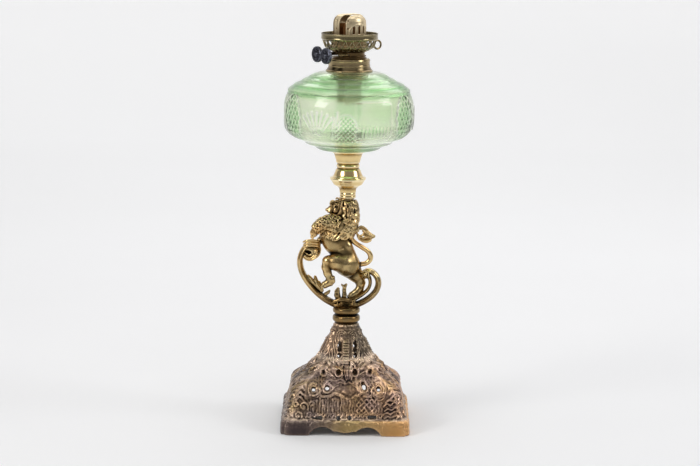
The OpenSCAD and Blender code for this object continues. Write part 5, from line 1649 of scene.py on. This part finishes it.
def box_dist(F, lo, hi):
    q = [np.maximum(lo[i] - F.ax[i], F.ax[i] - hi[i]) for i in range(3)]
    return np.maximum(np.maximum(q[0][:, None, None], q[1][None, :, None]), q[2][None, None, :]).astype(np.float32)


def cut(F, d, k=0.25):
    F.d = -smin(-F.d, d.astype(np.float32), k)


def build_gallery():
    F = Field((-34.6, -34.6, 438.4), (34.6, 34.6, 462.2), 0.37)
    out = [(18.6, 439.4), (19.4, 439.4), (22.9, 441.2), (26.5, 443.2), (28.7, 445.2), (29.5, 446.6), (30.2, 448.6),
           (31.5, 452.6), (32.4, 454.2), (33.1, 454.9), (33.25, 455.4), (33.05, 455.9), (32.9, 456.6), (32.9, 459.6),
           (33.2, 460.2), (33.25, 460.8), (32.9, 461.2), (32.3, 461.25), (31.9, 460.9), (31.9, 460.3), (32.1, 459.7),
           (32.1, 456.0), (31.6, 455.0), (30.6, 452.9), (29.3, 448.9), (27.8, 445.8), (26, 444.0), (22.6, 442.1),
           (19.2, 440.3), (18.6, 440.1)]
    F.d = outline_field(F, out).astype(np.float32)
    X, Y, Z = F.ax[0][:, None, None], F.ax[1][None, :, None], F.ax[2][None, None, :]
    th = np.arctan2(Y, X)
    s = th * 30.5
    p = 2 * math.pi * 30.5 / 24
    z0, z1 = 445.7, 453.7
    tri = np.abs(((s / p) % 1.0) * 2 - 1)
    slope = (z1 - z0) / (p / 2)
    bar = np.abs(Z - z0 - tri * (z1 - z0)) / math.sqrt(1 + slope ** 2) - 0.66
    win = np.maximum(np.abs(Z - (z0 + z1) / 2) - (z1 - z0) / 2 + 0.35, -bar)
    r = np.hypot(X, Y)
    cut(F, np.maximum(win, 26.0 - r), 0.35)
    # round holes on the bowl, small beads between them
    a = ((th / (2 * math.pi) * 24) % 1.0 - 0.5) / 24 * 2 * math.pi * 24.6
    cut(F, np.maximum(np.hypot(a, r - 24.6) - 1.3, 444.6 - Z - 5), 0.3)
    bead = np.sqrt((((th / (2 * math.pi) * 48) % 1.0 - 0.5) / 48 * 2 * math.pi * 28.2) ** 2 + (r - 28.4) ** 2 + (Z - 444.9) ** 2) - 0.55
    F.d = smin(F.d, bead.astype(np.float32), 0.4)
    cut(F, box_dist(F, (-37, -1.5, 438.0), (-19, 1.5, 448.0)), 0.2)
    ob = F.mesh("gallery_pierced", 1.6, 2.0)
    # painted shade: the inside, where its faces turn inwards, is darkened
    n = len(ob.data.vertices)
    co, no, cv = np.empty(n * 3, np.float32), np.empty(n * 3, np.float32), np.empty(n, np.float32)
    ob.data.vertices.foreach_get("co", co)
    ob.data.vertex_normals.foreach_get("vector", no)
    ob.data.attributes["cav"].data.foreach_get("value", cv)
    co, no = co.reshape(-1, 3), no.reshape(-1, 3)
    inward = -(co[:, 0] * no[:, 0] + co[:, 1] * no[:, 1]) / np.maximum(np.hypot(co[:, 0], co[:, 1]), 1e-6)
    cv = cv - 0.8 * sstep(0.15, 0.6, inward) * (1 - sstep(0.4560, 0.4575, co[:, 2]))
    ob.data.attributes["cav"].data.foreach_set("value", np.clip(cv, -1, 1).astype(np.float32))
    return turn(ob)


put(build_gallery(), "burner", "aged_brass", M_OLIVE, "gallery")


def build_collar():
    F = Field((-28.6, -28.6, 416.2), (28.6, 28.6, 433.0), 0.36)
    out = [(22.6, 417.0), (26.9, 417.0), (27.3, 417.35), (27.35, 418.2), (26.9, 418.8), (26.1, 419.2), (25.6, 420.2),
           (25.0, 421.4), (24.3, 422.6), (24.15, 423.2), (24.45, 423.7), (24.4, 424.4), (24.0, 424.9), (24.0, 428.6),
           (24.4, 429.0), (24.5, 429.7), (24.1, 430.3), (23.9, 430.9), (23.6, 431.5), (22.8, 432.0), (18.6, 432.0),
           (18.6, 430.8), (22.6, 430.8)]
    F.d = outline_field(F, out).astype(np.float32)
    for s in (-1, 1):
        cut(F, box_dist(F, (-3, s * 18.6 - 2.2, 430.0), (3, s * 18.6 + 2.2, 434.0)), 0.2)
    return turn(F.mesh("collar_turned", 1.6, 1.8))


put(build_collar(), "stand", "aged_brass", M_AGED, "font_collar")


def build_hood():
    F = Field((-22.4, -22.4, 445.0), (22.4, 22.4, 484.2), 0.36)
    out = [(18.2, 445.6), (21.2, 445.6), (21.5, 445.95), (21.2, 446.3), (19.4, 446.4), (18.95, 447.0), (18.9, 455.0),
           (19.15, 455.3), (19.15, 455.9), (18.9, 456.2), (18.9, 472.0), (18.5, 475.5), (17.2, 478.8), (15.0, 481.2),
           (12.0, 482.6), (8.0, 483.0), (0.0, 483.0), (0.0, 482.3), (8.0, 482.3), (11.7, 481.9), (14.4, 480.5),
           (16.5, 478.3), (17.8, 475.2), (18.2, 472.0)]
    F.d = outline_field(F, out).astype(np.float32)
    X, Y, Z = F.ax[0][:, None, None], F.ax[1][None, :, None], F.ax[2][None, None, :]
    r = np.hypot(X, Y)
    th = np.degrees(np.arctan2(Y, X))
    shell = F.d.copy()
    # raised lips along the flame slots and round the windows
    for s in (-1, 1):
        q = np.maximum(np.abs(Y - s * 8.4) - 3.8, 456.0 - Z)
        lip = np.maximum(np.abs(q - 0.7) - 0.75, shell - 0.32)
        F.d = smin(F.d, np.broadcast_to(lip, F.d.shape).astype(np.float32), 0.3)
    for c in (90, -90):
        for dlt in (-21, 0, 21):
            ang = ((th - c - dlt + 180) % 360 - 180) * math.pi / 180 * 18.9
            w = np.where(Z > 469.0, np.hypot(ang, Z - 469.0) - 1.4, np.maximum(np.abs(ang) - 1.4, 461.0 - Z))
            near = (np.sign(Y) == np.sign(c)) * 1.0
            lip = np.maximum(np.maximum(np.abs(w - 0.55) - 0.6, shell - 0.25), np.where(near > 0, -9.0, 9.0))
            F.d = smin(F.d, lip.astype(np.float32), 0.25)
            cut(F, np.maximum(w, np.where((near > 0) & (r > 9), -9.0, 9.0)), 0.25)
        # pressed arch over the windows
        ang = ((th - c + 180) % 360 - 180) * math.pi / 180 * 18.9
        arch = np.hypot(ang / 1.35, np.maximum(Z - 463.5, 0)) - 8.6
        rib = np.maximum(np.maximum(np.abs(arch) - 0.55, shell - 0.3), np.maximum(458.5 - Z, np.where(np.sign(Y) == np.sign(c), -9.0, 9.0)))
        F.d = smin(F.d, rib.astype(np.float32), 0.3)
    for s in (-1, 1):
        cut(F, box_dist(F, (-25, s * 8.4 - 3.8, 456.0), (25, s * 8.4 + 3.8, 500.0)), 0.3)
    for c in (48, 132, 228, 312, 0, 180):
        ca, sa = math.cos(math.radians(c)), math.sin(math.radians(c))
        for z in (467.0, 476.0):
            along = X * ca + Y * sa
            cyl = np.hypot(-X * sa + Y * ca, Z - z) - 1.05
            cut(F, np.maximum(cyl, 8.0 - along), 0.25)
    ob = F.mesh("hood_pressed", 1.6, 1.8)
    # painted shade: the foot of the hood, down in the gallery, is darkened
    n = len(ob.data.vertices)
    co, cv = np.empty(n * 3, np.float32), np.empty(n, np.float32)
    ob.data.vertices.foreach_get("co", co)
    ob.data.attributes["cav"].data.foreach_get("value", cv)
    cv = cv - 1.3 * (1 - sstep(0.4545, 0.4605, co.reshape(-1, 3)[:, 2]))
    ob.data.attributes["cav"].data.foreach_set("value", np.clip(cv, -1, 1).astype(np.float32))
    return turn(ob)


put(build_hood(), "hood", "pale_brass", M_PALE, "hood")


def build_knob(name, s, x0):
    """Knurled disc with a flower on its face, on a hub; axis along local X."""
    cy, cz = s * 12.4, 437.0
    F = Field((x0 - 5.4, cy - 10.4, cz - 10.4), (x0 + 4.2, cy + 10.4, cz + 10.4), 0.25)
    X, Y, Z = F.ax[0][:, None, None] - x0, F.ax[1][None, :, None] - cy, F.ax[2][None, None, :] - cz
    r = np.hypot(Y, Z)
    th = np.arctan2(Z, Y)
    rim = 9.3 - 0.32 * (1 - np.abs(np.cos(15 * th))) ** 1.2 * 1.6
    disc = np.maximum(r - rim, np.abs(X) - 2.3 + 0.9 * np.clip((r - 8.2) / 1.2, 0, 1) ** 2)
    petal = 0.95 * np.clip(np.cos(4 * th), -0.2, 1) * np.exp(-((r - 5.4) / 1.9) ** 2)
    petal = petal + 0.5 * np.clip(np.cos(16 * th + r * 1.2), -0.5, 1) * np.exp(-((r - 5.6) / 1.6) ** 2)
    ring = 0.7 * np.exp(-((r - 8.0) / 0.45) ** 2) + 1.0 * np.exp(-((r - 2.6) / 0.8) ** 2) - 0.6 * np.exp(-((r - 3.9) / 0.5) ** 2)
    face = 1.85 + 0.8 * petal + 0.6 * ring
    disc = np.maximum(disc, (np.abs(X) - face) * 0.75)
    hub = np.maximum(r - 3.4 + 0.12 * np.abs(X + 3.4), np.maximum(-4.5 - X, X))
    d = smin(disc.astype(np.float32), hub.astype(np.float32), 0.6)
    boss = np.sqrt(r ** 2 + ((X - 1.9) * 1.6) ** 2) - 2.1
    d = smin(d, boss.astype(np.float32), 0.5)
    d = np.maximum(d, 1.12 - r)
    F.d = np.broadcast_to(d, F.d.shape).astype(np.float32).copy()
    return turn(F.mesh(name, 1.2, 1.8))


put(build_knob("knob_front", 1, 41.8), "winder_front", "black_knob", M_KNOB, "winder_knob_front")
put(build_knob("knob_rear", -1, 36.8), "winder_rear", "black_knob", M_KNOB, "winder_knob_rear")


def build_lever():
    F = Field((-48, -3.4, 439.5), (-0.5, 3.4, 454), 0.25)
    px_, pz_ = -20.5, 443.5
    rise = math.atan((446 - 0.6 - pz_) / (40.3 - 4.9 - 20.5))
    F.chain([(px_, 0, pz_, 0.85), (px_ + 17.6, 0, pz_, 0.82)], 0.2)
    F.chain([(px_, 0, pz_, 0.85), (px_ - 14.6 * math.cos(rise), 0, pz_ + 14.6 * math.sin(rise), 0.95)], 0.4)
    pts = []
    for i in range(33):
        a = 2 * math.pi * i / 32
        pts.append((-40.3 + 4.9 * math.cos(a), 0, 446 + 4.9 * math.sin(a), 1.05))
    F.chain(pts, 0.4)
    X, Y, Z = F.ax[0][:, None, None], F.ax[1][None, :, None], F.ax[2][None, None, :]
    rr = np.hypot(X - px_, Z - pz_)
    eye = np.maximum(rr - 1.3, np.abs(Y) - 1.2)
    F.d = smin(F.d, np.broadcast_to(eye, F.d.shape).astype(np.float32), 0.3)
    F.d = np.maximum(F.d, (0.56 - rr).astype(np.float32))
    return turn(F.mesh("lever_wire", 1.0, 1.2))


put(build_lever(), "lever", "aged_brass", M_AGED, "extinguisher_lever")
# >>burner

bpy.context.view_layer.update()
